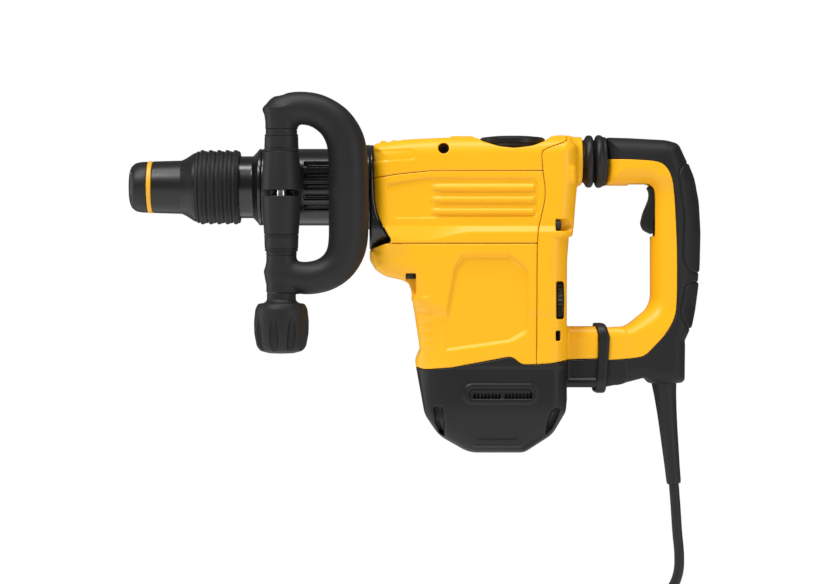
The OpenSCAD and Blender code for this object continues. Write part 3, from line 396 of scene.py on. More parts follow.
def without_crumbs(points, faces):
    """Drops loose islands far smaller than the main one."""
    count = len(points)
    label = np.arange(count)
    edges = np.concatenate([np.stack([f[:, k], np.roll(f, -1, 1)[:, k]],
        1) for f in faces for k in range(f.shape[1])])
    while True:
        a, b = label[edges[:, 0]], label[edges[:, 1]]
        low, high = np.minimum(a, b), np.maximum(a, b)
        differ = low != high
        if not differ.any():
            break
        np.minimum.at(label, high[differ], low[differ])
        while True:
            after = label[label]
            if (after == label).all():
                break
            label = after
    sizes = np.bincount(label, minlength=count)
    good = sizes[label] >= 60
    renumber = np.cumsum(good) - 1
    kept = [renumber[f[good[f[:, 0]]]] if len(f) else f for f in faces]
    return points[good], kept


def mesh_object(name, points, faces, material, smooth=True):
    me = bpy.data.meshes.new(name)
    me.vertices.add(len(points))
    me.vertices.foreach_set("co", np.asarray(points, F).ravel())
    loops = np.concatenate([f.ravel() for f in faces if len(f)])
    totals = np.concatenate([np.full(len(f), f.shape[1]) for f in faces if len(f)])
    starts = np.concatenate([[0], np.cumsum(totals)[:-1]])
    me.loops.add(len(loops))
    me.loops.foreach_set("vertex_index", loops.astype(np.int32))
    me.polygons.add(len(totals))
    me.polygons.foreach_set("loop_start", starts.astype(np.int32))
    me.update(calc_edges=True)
    me.validate()
    me.polygons.foreach_set("use_smooth", np.full(len(me.polygons), smooth))
    me.materials.append(material)
    return link(bpy.data.objects.new(name, me))


def surface(name, d, g, material, adaptivity=0.0):
    """Mesh of the zero level of a distance field."""
    band = 3 * g.step
    grid = openvdb.FloatGrid(band)
    shape = (g.x.shape[0], g.y.shape[1], g.z.shape[2])
    grid.copyFromArray(np.ascontiguousarray(np.clip(np.broadcast_to(d, shape), -band, band), dtype=F))
    points, tris, quads = grid.convertToPolygons(isovalue=0.0, adaptivity=adaptivity)
    points = (np.asarray(points, float) * g.step + g.low) * MM
    faces = [np.asarray(f, np.int64) for f in (tris, quads)]
    points, faces = without_crumbs(points, faces)
    volume = 0.0
    for f in faces:
        for k in range(1, f.shape[1] - 1):
            if len(f):
                volume += np.einsum("ij,ij->", points[f[:, 0]],
                    np.cross(points[f[:, k]], points[f[:, k + 1]]))
    if volume < 0:
        faces = [f[:, ::-1] for f in faces]
    return mesh_object(name, points, faces, material)


def lathe(name, profile, material, centre=(0, 0, AXIS_Z), axis="X", segments=96, sharp=32):
    """Closed ring or disc turned from (station, radius) points around an axis."""
    pts = np.asarray(profile, float)
    n, m = len(pts), segments
    a = np.arange(m) * 2 * math.pi / m
    s, r = pts[:, 0][:, None], pts[:, 1][:, None]
    u, v = r * np.cos(a), r * np.sin(a)
    w = np.broadcast_to(s, u.shape)
    order = {"X": (w, u, v), "Z": (u, v, w)}[axis]
    co = np.stack(order, -1).reshape(-1, 3) + np.array(centre)
    i, j = np.meshgrid(np.arange(n), np.arange(m), indexing="ij")
    ii, jj = (i + 1) % n, (j + 1) % m
    quads = np.stack([i * m + j, i * m + jj, ii * m + jj, ii * m + j], -1).reshape(-1, 4)
    obj = mesh_object(name, co * MM, [quads], material)
    return finish_mesh(obj, sharp)


def finish_mesh(obj, sharp=32):
    """Merges doubled points, turns faces outwards and marks sharp edges."""
    import bmesh
    bm = bmesh.new()
    bm.from_mesh(obj.data)
    bmesh.ops.remove_doubles(bm, verts=bm.verts, dist=1e-6)
    bmesh.ops.dissolve_degenerate(bm, dist=1e-7, edges=bm.edges)
    bmesh.ops.recalc_face_normals(bm, faces=bm.faces)
    limit = math.radians(sharp)
    for e in bm.edges:
        e.smooth = len(e.link_faces) == 2 and e.calc_face_angle(0) < limit
    for f in bm.faces:
        f.smooth = True
    bm.to_mesh(obj.data)
    bm.free()
    return obj


def rounded_profile(points, r):
    """Turned profile with its corners rounded."""
    return fillet([(p[0], p[1], p[2] if len(p) > 2 else r) for p in points])


def place(obj, body, slot_name, *nodes):
    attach(obj, body)
    if nodes:
        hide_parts(*nodes)
    return obj


# ---------------------------------------------------------------- housing

HOUSING_SIDE = fillet([
    (-254.4, 84.6, 3), (-251, 86.6, 4), (-224, 90, 60), (-195, 91.4, 60), (-90, 91.4, 5),
    (-83.4, 84, 5), (-83.2, 52.2, 8),
    (-84.6, 40, 30), (-86.4, 16, 60), (-91.4, -8, 60), (-91.8, -40, 40), (-91.8, -66.4, 40),
    (-91.8, -119, 20), (-91.6, -127.5, 8), (-93, -138, 14), (-104, -157.5, 22), (-127.5, -173, 12),
    (-173.8, -173, 26), (-199, -158.5, 28),
    (-211, -140.5, 20), (-218.2, -101, 4), (-218.9, -95.5, 4), (-215, -86, 5), (-222.4, -36, 3),
    (-224.5, -30.6, 3), (-230.5, -27.6, 8),
    (-243.6, -24.8, 10), (-252, -19.6, 9), (-256.8, -11.5, 8), (-257.0, -3.2, 2), (-254.4, -2, 0)])

BASE_LINE = [(-230, -100.6), (-218.4, -101.4), (-212.2, -103.2), (-205, -103), (-189, -101.6),
    (-165, -97.2), (-142.8, -93), (-139, -92.6),
             (-136, -93.8), (-131, -97.8), (-128, -98.9), (-116, -98.9), (-104.2, -97.9), (-92, -95.6),
             (-60, -94.6)]
REAR_SEAM = [(-90, 112), (-89.6, 91.6), (-93, 88.4), (-106, 83.6), (-111.6, 80.6), (-112.4, 77),
    (-111.5, 64.7), (-109.6, 50), (-109.5, 42.6), (-110.4, 36), (-113.2, 24), (-115.4, 14),
    (-116.4, 0.8), (-117, -110)]
TOP_SEAM = [(-262, 56.8), (-252.5, 58), (-230, 61.5), (-206, 63.8), (-100, 64)]

g = Grid((-262, -53, -176.5), (-67, 53, 96.5), 0.8)
X, Y, Z = g.x, g.y, g.z
side = polygon(HOUSING_SIDE, -219 + (X + 219) * 1.009, -38 + (Z + 38) * 1.012)
# the seams and reliefs are laid out at the middle plane's scale and lie on the side faces
XS = -219 + (X + 219) * 1.0215
ZS = -38 + (Z + 38) * 1.0215

# half width over the side view: the motor section stands out below a bevelled ledge
ledge_low = 5 + 7.2 * ramp(XS, -212, -171)
half = 44.6 + 4.4 * (1 - np.clip((ZS - ledge_low) / (17.8 - ledge_low), 0, 1))
panel = polygon(fillet([(-179, -6, 6), (-139, -6, 7), (-123.6, -19, 8), (-123, -71.5, 10),
    (-139, -80.5, 14), (-196, -88.5, 3), (-192, -50, 20), (-186, -16, 20)]), XS, ZS)
half = half - 3.4 * ramp(-panel, -1.0, 3.4)
# belly tucks in towards the front of the motor section
half = half - 7 * ramp(-X, 214, 252) * ramp(-Z, -8, 12)
# the base narrows towards the foot
half = half - 9 * ramp(-Z, 128, 176) - 1.2 * ramp(-Z, 99, 101.5)
lateral = np.abs(Y) - half

radius = 15.0
body = meet(side, lateral, radius)
rear_plan = polygon(fillet([(-300, -52, 5), (-300, 52, 5), (-91.4, 52, 24), (-91.4, -52, 24)]), X, Y)
rear_plan = np.where(Z > 8, polygon(fillet([(-300, -52, 5), (-300, 52, 5), (-82.5, 52, 26),
    (-82.5, -52, 26)]), X, Y), rear_plan)
# round stub for the bellows and the squared stub of the lower arm stand behind the rear cover
arm_stub = rod_x(g, 0, 72, 20.2, -100, -79, 1.5)
arm_seam = np.interp(Z, [-126, -119.4, -94.6, -75.5, -65.6, -60],
    [-65, -64.7, -62.7, -61.6, -64.4, -66.5]).astype(F)
low_stub = meet(polygon(fillet([(-22.5, -116.5, 7), (22.5, -116.5, 7), (22.5, -66.8, 9),
    (-22.5, -66.8, 9)]), Y, Z), np.maximum(-100 - X, X - arm_seam + 1.4), 0.6)
core = meet(body, rear_plan, 3)
body = join(core, arm_stub, 7.0)
body = join(body, low_stub, 4.0)
motor_front = np.hypot(np.maximum(-(X + 178), 0) * 1.0, Y) - 49
body = meet(body, motor_front - 26 * ramp(Z, -60, -28) - 900 * ramp(Z, -28, -18), 3)

# side details on both faces
depth = np.zeros_like(side)
shroud = polygon(fillet([(-243, 52.4, 3), (-211, 57.6, 6), (-117.5, 57.6, 5), (-116, 52, 3),
    (-116.4, 25.4, 4), (-236, 24.4, 3)]), XS, ZS)
depth = depth + 1.3 * ramp(-shroud, -0.4, 0.4)
grip_mark = polygon(fillet([(-264, 81, 2), (-219.5, 82.2, 4), (-217.5, 73.4, 4), (-264, 70.6, 2)]), XS,
    ZS)
depth = depth + 0.8 * ramp(-grip_mark, -0.6, 1.0)
for k in range(3):
    zc = 50.6 - 10 * k
    lift = ramp(-ZS, -zc - 3.0, -zc + 0.4) * ramp(ZS, zc - 3.2, zc - 2.2) * ramp(XS, -209,
        -196) * (1 - ramp(XS, -119.5, -117.6))
    depth = depth - 2.4 * lift
# front grip ridges on the motor housing
for k in range(6):
    zc = -44 - 7.9 * k
    depth = depth - 0.7 * ramp(2.7 - np.abs(ZS - zc), 0, 0.9) * (1 - ramp(XS, -206.5, -204.5))
# faint embossed pointer under the dial
pointer = np.abs(np.hypot(X + 137.3, Z - 79.5) - 5.2) - 0.35
depth = depth + 0.35 * ramp(-pointer, -0.3, 0.2) * (Z < 79)
body = body + np.where(np.abs(Y) > 20, depth, 0) * ramp(np.abs(Y), 26, 34)

# front bumps and the top rail
for x0, x1 in [(-248, -243), (-239, -234), (-230, -225), (-221, -216), (-212, -191)]:
    body = join(body, block(g, (x0, -9, 84), (x1, 9, 88.4 + (x0 + 254) * 0.05), 1.2), 1.2)
body = join(body, block(g, (-190, -11, 84), (-169, 11, 92.5), 2.5), 2.5)
body = join(body, block(g, (-106.5, -13, 84), (-89, 13, 92.6), 2.5), 2.5)
# scoop for the dial, through the top edge
scoop = polygon(fillet([(-171, 100, 1), (-171, 92.8, 3), (-163.5, 86.6, 8), (-150, 82.2, 20),
    (-137, 80.6, 30), (-122, 82.6, 20), (-112, 86.6, 8), (-104.8, 92.8, 3), (-104.8, 100, 1)]), X, Z)
body = cut(body, scoop, 1.0)
body = cut(body, rod_z(g, -137.3, 0, 28.9, 80.2, 120), 0.8)
# half-round bump beside the bellows stub
for s in (-1, 1):
    body = join(body, tube(g, [(-91.2, s * 37.5, 56.0, 5.6), (-91.2, s * 37.5, 62.0, 5.6)]), 1.2)
# screw seats and small recesses
solid = body
for s in (-1, 1):
    seat = np.maximum(rod_x(g, s * 41, 17.0, 5.0, -103.2, -60), 22 - s * Y)
    notch = np.maximum(block(g, (-103.2, -60, 12.2), (-60, 60, 22.0), 0.6), 38 - s * Y)
    body = cut(body, np.minimum(seat, notch), 0.4)
    body = cut(body, np.maximum(block(g, (-226.6, -60, -40), (-218.2, 60, -22.6), 0.4), 34 - s * Y), 0.3)
    body = cut(body, np.maximum(np.hypot(X + 195.4, Z - 80.4) - 4.5, 29 - s * Y), 0.4)
# speed wheel slot
body = cut(body, np.maximum(block(g, (-102.9, -60, -60.4), (-96.4, -12, -29.2), 1.4), -900), 0.6)
solid = body
# small catch holes at the back, and the ports: barrel, dial stem, arm rod, pivot slot
for s in (-1, 1):
    body = cut(body, np.maximum(block(g, (-103.3, -60, -78.2), (-99.5, 60, -69.8), 0.4), 36 - s * Y), 0.3)
body = cut(body, rod_x(g, 0, AXIS_Z, 32.6, -300, -245))
body = cut(body, rod_x(g, 0, 72, 15.4, -104, -70))
body = cut(body, rod_z(g, -137.3, 0, 6.2, 60, 100))
body = cut(body, block(g, (-92, -13.4, -112), (-60, 13.4, -74)))
body = cut(body, rod_y(g, -80, -93, 4.2, -21.4, 21.4))

# black collar around the barrel
collar_side = polygon(fillet([(-258.4, 85.2, 2), (-253.2, 84.9, 1), (-253.3, 57, 10), (-252.4, 38, 40),
    (-249.8, 25.4, 30), (-245.4, 16, 20),
                              (-237.9, 3.6, 2), (-250.7, -0.6, 3), (-258.4, -3.6, 2)]), X, Z)
ring_section = polygon(fillet([(-41, -5, 22), (41, -5, 22), (41, 85.6, 30), (-41, 85.6, 30)]), Y, Z)
collar = meet(meet(np.maximum(collar_side, -256.7 - X), ring_section, 2.0), np.abs(Y) - 46, 3)
collar = join(collar, rod_x(g, 0, AXIS_Z, 35.5, -262.0, -256, 1.0), 0.3)
collar = cut(collar, rod_x(g, 0, AXIS_Z, 32.7, -300, -236), 0.6)
collar = cut(collar, block(g, (-250, -36.4, 7.6), (-200, 36.4, 74.4)))
inner = -(solid + 3.6)
shell = np.maximum(body, inner)
above_base = -polygon([(-230, -260)] + BASE_LINE + [(-40, -94), (-40, -260)], XS, ZS)
rear_zone = -polygon([(-300, 120)] + REAR_SEAM + [(-300, -110)], XS, ZS)
top_zone = polygon([(-300, 130), (-300, 56)] + TOP_SEAM + [(-60, 64), (-60, 130)], XS, ZS)
HALF_GAP = 0.22


def region(*fields):
    d = fields[0]
    for f in fields[1:]:
        d = np.maximum(d, f)
    return d + HALF_GAP


front_of_seam = -rear_zone
yellow_low = region(above_base, front_of_seam, ZS - 2.9)
yellow_mid = region(front_of_seam, 2.9 - ZS, -top_zone)
yellow_top = region(front_of_seam, top_zone)
yellow_rear = region(rear_zone, above_base)
black_base = region(-above_base)
parts = [
    ("motor_housing_shell", yellow_low, YELLOW, "shell_yellow", "motor_housing"),
    ("gearbox_shroud_shell", yellow_mid, YELLOW, "shell_yellow", "gearbox_shroud"),
    ("top_cover_shell", yellow_top, YELLOW, "shell_yellow", "top_cover"),
    ("rear_cover_shell", yellow_rear, YELLOW, "shell_yellow", "rear_cover"),
]
for name, zone, material, slot_name, node in parts:
    d = meet(np.maximum(shell, -collar_side + 0.2), zone, 0.35)
    place(surface(name, d, g, material, 0.0), "housing", slot_name, node)
place(surface("front_collar_ring", collar, g, GLOSS), "housing", "soft_black", "front_collar")

# base cap with its vent, flutes, ledge and the tube under the lower stub
base = body
side_face = np.abs(Y) > 18
vent = polygon(fillet([(-178.8, -114.8, 8.7), (-115.6, -114.8, 8.7), (-115.6, -132.4, 8.7),
    (-178.8, -132.4, 8.7)]), XS, ZS)
frame_lift = 1.5 * ramp(2.6 - np.abs(vent + 2.4), 0, 1.0)
flutes = np.minimum(
    polygon(fillet([(-204, -134.6, 1), (-195, -134.6, 2), (-193.2, -147.6, 6), (-193.6, -160.5, 1),
    (-198.6, -156.6, 3), (-202.2, -147.6, 6)]), XS, ZS),
    polygon(fillet([(-109.6, -159.6, 1), (-108.6, -147.6, 8), (-104.6, -136.4, 4), (-96.4, -134.6, 1),
    (-99, -143.5, 6), (-103.2, -152.4, 6)]), XS, ZS))
foot_mark = polygon(fillet([(-166.4, -161.8, 1), (-132.8, -161.8, 1), (-127, -168.6, 1),
    (-171, -168.6, 1)]), XS, ZS)
foot_lift = 1.3 * ramp(-foot_mark, -0.5, 0.7) - 1.0 * ramp(1.3 - np.abs(foot_mark + 2.6), 0, 0.7)
base = base + np.where(side_face, 3.8 * ramp(-flutes, -0.8, 2.2) - frame_lift - foot_lift, 0)
base_solid = np.maximum(solid, base)
for s in (-1, 1):
    base = cut(base, np.maximum(vent + 5.4, 46.0 - s * Y), 0.5)
    for k in range(8):
        for x0 in (-170.8, -145.0):
            slot_box = block(g, (x0 + 2.9 * k, -60, -125.9), (x0 + 2.9 * k + 1.9, 60, -121.3), 0.3)
            base = cut(base, np.maximum(slot_box, 36 - s * Y))
    base = join(base, tube(g, [(-93, s * 20.6, -113.2, 4.2), (-69, s * 20.6, -113.2, 4.2)]), 0.5)
base = cut(base, block(g, (-92, -13.4, -112), (-60, 13.4, -74)))
base_shell = np.maximum(base, -(base_solid + 3.6))
# louvre plate behind the vent slots
for s in (-1, 1):
    base_shell = join(base_shell, np.maximum(block(g, (-176, 37, -131),
        (-118, 39.4, -116)) if s > 0 else block(g, (-176, -39.4, -131), (-118, -37, -116)), solid))
place(surface("base_cap_shell", meet(base_shell, black_base, 0.35), g, BLACK), "housing", "hard_black",
    "base_cap")
del body, base, shell, base_shell, collar, inner, core, side

# screws that hold the shells: cap heads with a hexagon socket on plain shanks, coloured near-black
# instead of steel as painted shade in their holes


def cap_screw(points, centre, direction):
    """Adds one screw's turned outline and faces to the lists in points."""
    outline = [(0.2, 1.9), (0.2, 3.6), (-0.3, 4.2), (-4.0, 4.3), (-4.2, 2.5), (-21.5, 2.4),
        (-22.3, 1.6), (-22.3, 0.0)]
    m = 30
    a = np.arange(m) * 2 * math.pi / m
    hexagon = 2.1 / np.cos((np.mod(a + math.pi / 6, math.pi / 3)) - math.pi / 6)
    rings = [np.stack([np.full(m, -2.4), 0.01 * np.cos(a), 0.01 * np.sin(a)], 1),
        np.stack([np.full(m, -2.4), hexagon * np.cos(a), hexagon * np.sin(a)], 1),
             np.stack([np.full(m, 0.15), hexagon * np.cos(a), hexagon * np.sin(a)], 1)]
    rings += [np.stack([np.full(m, x), max(r, 0.01) * np.cos(a), max(r, 0.01) * np.sin(a)], 1) for x,
        r in outline[1:]]
    co = np.concatenate(rings) @ np.array(Vector((1, 0,
        0)).rotation_difference(Vector(direction)).to_matrix()).T + np.array(centre)
    start = sum(len(c) for c, _ in points)
    i, j = np.meshgrid(np.arange(len(rings) - 1), np.arange(m), indexing="ij")
    quads = np.stack([i * m + j, i * m + (j + 1) % m, (i + 1) * m + (j + 1) % m, (i + 1) * m + j],
        -1).reshape(-1, 4)
    points.append((co, quads + start))


screws = []
for s in (-1, 1):
    cap_screw(screws, (-98.9, s * 41, 17.0), (1, 0, 0))
    cap_screw(screws, (-195.4, s * 31.5, 80.4), (0, s, 0))
    cap_screw(screws, (-222.4, s * 39.5, -27.0), (0, 0, -1))
for y in (-31.5, 31.5):
    for z in (35, 65):
        cap_screw(screws, (-250, y, z), (-1, 0, 0))
housing_screws = finish_mesh(mesh_object("cover_screws", np.concatenate([c for c, _ in screws]) * MM,
    [np.concatenate([q for _, q in screws])], SHADE_BLACK), 40)
place(housing_screws, "housing", "steel", "housing_screws")

# ---------------------------------------------------------------- rear handle

HANDLE_OUTER = fillet([
    (-58.6, 91.4, 1.2), (-40, 90.9, 60), (-9, 89.2, 20), (1.6, 86.4, 8), (9.6, 69.6, 60),
    (14.9, 57, 50), (18.8, 38, 60),
    (20.2, 12, 80), (19.6, -14, 80), (18.3, -34, 60), (15.8, -52.9, 60), (12.2, -66, 20),
    (6.4, -78.5, 3), (6.0, -112.6, 3),
    (-21.6, -113.6, 4), (-26.5, -109.4, 6), (-44.2, -114, 60), (-52, -115.4, 1.5), (-52, -68.2, 1.5),
    (-46, -67.8, 8), (-40, -65.2, 22),
    (-25.2, -52.6, 14), (-21.5, -44, 16), (-21.5, 40, 4), (-21.7, 47, 4), (-25, 51.4, 8),
    (-58.6, 51.4, 1.5)])
CORE_LINE = smooth_path([(-75, 73.2), (-57, 73), (-36, 72.4), (-18, 70.8), (-10, 66.4), (-5.4, 58),
    (-3.0, 46), (-1.4, 20), (-0.4, -10), (-0.8, -46), (-3.2, -60),
                         (-10.6, -73), (-19, -82.4), (-27.4, -90.4), (-37, -93), (-58.5, -94.7),
                         (-75, -95)])

g = Grid((-92, -26, -119), (24, 26, 95), 0.65)
X, Y, Z = g.x, g.y, g.z
side = polygon(HANDLE_OUTER, X, Z)
top_arm = ramp(Z, 44, 60)
low_arm = ramp(-Z, 48, 74)
half = 18 + 3.2 * top_arm + 4.2 * low_arm
half = half - 2.4 * ramp(X, -2, 14) * (1 - low_arm)
grip_round = 15.5 - 5.0 * low_arm
handle = meet(side, np.abs(Y) - half, grip_round)
# the lower arm starts along the rubber band's curve
arm_seam = np.interp(Z, [-126, -119.4, -94.6, -75.5, -65.6, -60],
    [-65, -64.7, -62.7, -61.6, -64.4, -66.5]).astype(F)
low_arm = meet(meet(polygon(fillet([(-68, -66.9, 1), (-44, -68.2, 2), (-44, -113.8, 4),
    (-68, -118.6, 1)]), X, Z),
                    polygon(fillet([(-22.3, -119.5, 11), (22.3, -119.5, 11), (22.3, -66.5, 10),
                    (-22.3, -66.5, 10)]), Y, Z), 0.5), arm_seam + 1.6 - X, 0.6)
handle = join(handle, low_arm, 2.5)
boss = tube(g, [(-10.6, 0, -84, 17.4), (-9.6, 0, -104.2, 16.2), (-9.2, 0, -108.0, 15.8)])
boss = meet(boss, np.maximum(-113.4 - Z, Z + 70), 2.0)
handle = join(handle, boss, 4.0)
handle = cut(handle, rod_z(g, -10, 0, 6, -130, -90))
# raised pads on the grip, edged by fine grooves
pad_a = polygon(fillet([(30, 70, 3), (7, 70, 10), (0.6, 62, 16), (6.2, 25, 60), (4.6, -10, 24),
    (10.5, -21.5, 12), (30, -21, 3)]), X, Z)
pad_b = polygon(fillet([(30, -29.5, 3), (13, -30, 8), (6.6, -34, 10), (4.4, -46, 30), (2.2, -58, 12),
    (9.5, -68.5, 6), (30, -70, 3)]), X, Z)
pads = np.minimum(pad_a, pad_b)
handle = handle - 0.6 * ramp(-pads, -0.2, 1.0) + 0.9 * ramp(0.95 - np.abs(pads - 0.4), 0, 0.8)
mouth = block(g, (-40, -10.9, 8.6), (-6, 10.9, 52.6), 0.8)
handle = cut(handle, mouth, 0.8)
handle = cut(handle, rod_x(g, 0, 72, 6.1, -100, -38))
inner = -(handle + 3.2)
whole = np.maximum(handle, inner)
core_side = polygon(np.concatenate([CORE_LINE, [(-120, -95), (-120, 73.2)]]), X, Z)
overmould = meet(whole, -core_side + 0.15, 0.4)
place(surface("grip_overmould", overmould, g, SOFT), "rear_handle", "soft_black", "handle_overmould")
yellow = meet(whole, core_side + 0.15, 0.4)
tongue_solid = cut(block(g, (-88, -13, -101), (-55, 13, -85), 3), rod_y(g, -80, -93, 4.05, -30, 30))
yellow = join(yellow, tongue_solid)
for s, name, node in ((-1, "handle_shell_near", "handle_shell_left"),
    (1, "handle_shell_far", "handle_shell_right")):
    d = np.maximum(yellow, 0.12 - s * Y)
    if s > 0:
        for x, z in ((-44, 62), (-16, 62), (-9, -70), (-38, -76), (-52, -76)):
            d = cut(d, rod_y(g, x, z, 3.5, 11, 60), 0.4)
    place(surface(name, d, g, YELLOW), "rear_handle", "shell_yellow", node)
del handle, whole, overmould, yellow, inner, side

# trigger
g = Grid((-33, -12, 8), (-12, 12, 53), 0.4)
X, Y, Z = g.x, g.y, g.z
outline = fillet([(-25.2, 50.6, 2), (-22.2, 46, 12), (-22.6, 40, 14), (-27.6, 28, 18), (-29.6, 19.5, 5),
    (-27.4, 14, 5), (-20.8, 10.6, 2.5),
                  (-17.6, 11.8, 2), (-18.6, 18, 10), (-17, 30, 20), (-15.6, 40, 8), (-14.2, 47.5, 3),
                  (-18.5, 50.6, 3)])
trig = meet(polygon(outline, X, Z), np.abs(Y) - 10.3, 2.6)
trig = trig + 0.35 * ramp(0.5 - np.abs(np.mod(Z, 3.2) - 1.6), 0,
    0.4) * (1 - ramp(X, -26, -24)) * ramp(8 - np.abs(Y), 0, 1)
place(surface("trigger_lever", trig, g, BLACK), "trigger", "hard_black", "trigger")

# bellows: two soft rings with a groove
BELLOWS_X = [(-78.5, 16.8), (-78.5, 17.6), (-77.4, 18.2), (-76.5, 19.6), (-75.6, 21.2), (-74.0, 21.9),
    (-72.2, 21.9), (-70.6, 21.0), (-69.6, 18.8), (-69.0, 17.6),
             (-68.4, 18.6), (-67.6, 20.8), (-66.2, 22.0), (-64.4, 22.2), (-62.6, 21.6), (-61.2, 20.6),
             (-59.6, 20.4), (-58.6, 19.6), (-58.5, 17.2)]
bellows = lathe("upper_bellows_boot", smooth_path(BELLOWS_X, 3), RUBBER, (0, 0, 71.6), sharp=60)
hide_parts("upper_bellows")
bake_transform(bellows)

# rubber band around the lower arm
g = Grid((-76, -28, -126), (-54, 28, -60), 0.5)
X, Y, Z = g.x, g.y, g.z
shift = np.interp(Z, [-126, -119.4, -94.6, -75.5, -65.6, -60],
    [-65, -64.7, -62.7, -61.6, -64.4, -66.5]).astype(F)
loop = polygon(fillet([(-22.9, -119.6, 9), (22.9, -119.6, 9), (22.9, -66.6, 10), (-22.9, -66.6, 10)]),
    Y, Z)
band = np.hypot(np.maximum(np.abs(X - shift) - 2.0, 0), loop) - 2.7
band = np.maximum(band, -loop - 0.3)
band_obj = surface("lower_arm_band", band, g, RUBBER)
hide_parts("lower_band")
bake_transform(band_obj)

# strain relief: smooth taper with a flared top, and the cord leaving it
tilt = Matrix.Rotation(math.radians(180 - 5.6), 4, "Y")
GUARD = [(0.2, 0), (0.2, 10.6), (4, 10.2), (12, 9.3), (26, 8.3), (40, 7.6), (56, 7.0), (72, 6.4),
    (84.5, 6.1), (86.4, 5.7), (86.8, 5.0), (86.8, 4.25), (60, 4.25), (60, 0)]
guard = lathe("cord_guard", fillet([(a, b, 0.4) for a, b in GUARD]), RUBBER, (0, 0, 0), "Z", 64, 50)
guard.data.transform(Matrix.Translation(Vector((-10, 0, -112.6)) * MM) @ tilt)
place(guard, "rear_handle", "rubber", "strain_relief")

# ---------------------------------------------------------------- barrel and chuck

g = Grid((-348.5, -34.5, 14), (-244, 34.5, 86), 0.6)
X, Y, Z = g.x, g.y, g.z
R = np.hypot(Y, Z - AXIS_Z)
bar = meet(R - 32.2, np.maximum(-346.8 - X, X + 245), 0.8)
for s in (-1, 1):
    for k in range(-2, 3):
        a = math.radians(90 - 17 * k)
        cy, cz = s * math.sin(a), math.cos(a)
        across = np.abs((Z - AXIS_Z) * cy * s - Y * cz * s)
        along = Y * cy + (Z - AXIS_Z) * cz
        window = np.maximum(np.maximum(across - 2.6, 29.2 - along), np.maximum(-311 - X, X + 271))
        bar = cut(bar, window, 0.5)
        rib = np.maximum(np.maximum(across - 0.9, np.abs(along - 29.6) - 0.9),
            np.maximum(-309 - X, X + 273))
        bar = join(bar, rib)
for x0 in (-266.5, -263):
    bar = cut(bar, np.maximum(np.abs(X - x0) - 0.5, 31.4 - R), 0.2)
bar = cut(bar, R - 22.1)
place(surface("barrel_tube", bar, g, GLOSS), "housing", "barrel_black", "barrel")

lathe_parts = [
    ("dust_cap_lip", RUBBER, "spindle", "rubber", ["dust_cap"],
     [(-458.2, 9.6, 0.6), (-458.2, 13.5, 3), (-456.8, 17.2, 4), (-453.4, 20.2, 5), (-448.7, 21.2, 6),
     (-443.2, 21.5, 0.8), (-443.2, 18.0), (-456, 18.0), (-456, 9.6)]),
    ("marker_ring_band", MARK, "spindle", "shell_yellow", ["marker_ring"],
     [(-443, 18.0), (-443, 21.2, 0.4), (-442.4, 21.9, 0.5), (-439.7, 21.9, 0.5), (-439.1, 21.2, 0.4),
     (-439.1, 18.0)]),
    ("lock_sleeve_body", SLEEVE, "lock_sleeve", "barrel_black", ["lock_sleeve"],
     [(-438.8, 18.2), (-438.8, 21.7, 0.7), (-414.8, 22.4, 1.2), (-411, 24.2, 3), (-404.6, 28.4, 3),
     (-402.2, 29.2, 0.5), (-402, 27.9), (-365.6, 27.9), (-365.6, 26.4), (-400.0, 26.4), (-400.0, 18.2)]),
    ("barrel_nose_flange", GLOSS, "housing", "barrel_black", ["barrel_nose"],
     [(-375.5, 18.3), (-375.5, 26, 0.6), (-354.6, 26, 2), (-350.6, 30.4, 2), (-349.6, 32.0, 0.8),
     (-347.1, 32.2, 0.6), (-347.1, 18.3)]),
]
for name, material, body_name, slot_name, nodes, profile in lathe_parts:
    place(lathe(name, rounded_profile(profile, 0), material), body_name, slot_name, *nodes)

ribs = [(-402, 27.9), (-402, 29.4), (-401.2, 30.1)]
for k in range(5):
    c = -397.6 + 6.95 * k
    ribs += [(c - 2.5, 30.15), (c - 1.9, 29.5), (c - 1.5, 29.6), (c - 0.9, 31.0), (c + 0.3, 31.3),
        (c + 1.5, 31.0), (c + 2.3, 30.4)]
ribs += [(-366.4, 30.2), (-365.7, 29.6), (-365.6, 27.9)]
place(lathe("sleeve_grip_ribs", ribs, SOFT, sharp=28, segments=128), "lock_sleeve", "rubber", "grip_ring")

# ---------------------------------------------------------------- side handle

CX, CY = -328.5, -52.0
GRIP_PATH = smooth_path([
    (-330.5, CY, 111.4, 10.6), (-325.5, CY, 112.0, 11.8), (-314, CY, 112.9, 12.8),
    (-299.4, CY, 110.6, 13.2), (-286.0, CY, 102.2, 14.0),
    (-277.8, CY, 90.4, 14.8), (-274.4, CY, 77, 15.5), (-273.4, CY, 54, 15.9), (-273.4, CY, 25, 15.9),
    (-273.8, CY, 4.9, 15.5),
    (-276.6, CY, -7.2, 14.6), (-283.0, CY, -17, 13.8), (-293.4, CY, -23.8, 13.2),
    (-307, CY, -26.6, 12.8), (-321.5, CY, -25, 12.4),
    (-327.5, CY, -23.6, 11.8), (-331, CY, -22.6, 10.6)], 4)
g = Grid((-350, -70, -42), (-256, -34, 128), 0.65)
X, Y, Z = g.x, g.y, g.z
loop = tube(g, [tuple(p) for p in GRIP_PATH], 1.5)
column = np.hypot(X - CX, Y - CY)
eye_up = meet(column - 13.2, np.maximum(95.2 - Z, Z - 113), 0.8)
eye_low = meet(column - 12.4, np.maximum(-38.7 - Z, Z + 8.06), 0.3)
loop = join(loop, eye_up, 5)
loop = join(loop, eye_low, 4)
loop = join(loop, tube(g, [(-333, CY, 114.6, 6.0), (-341.6, CY, 111.6, 2.4)]), 2.5)
loop = join(loop, tube(g, [(-334, CY, -22.4, 5.0), (-340.2, CY, -21.2, 2.0)]), 2.5)
loop = cut(loop, column - 4.3)
loop = np.maximum(loop, -meet(column - 13.6, np.maximum(-8.06 - Z, Z - 95.1)))
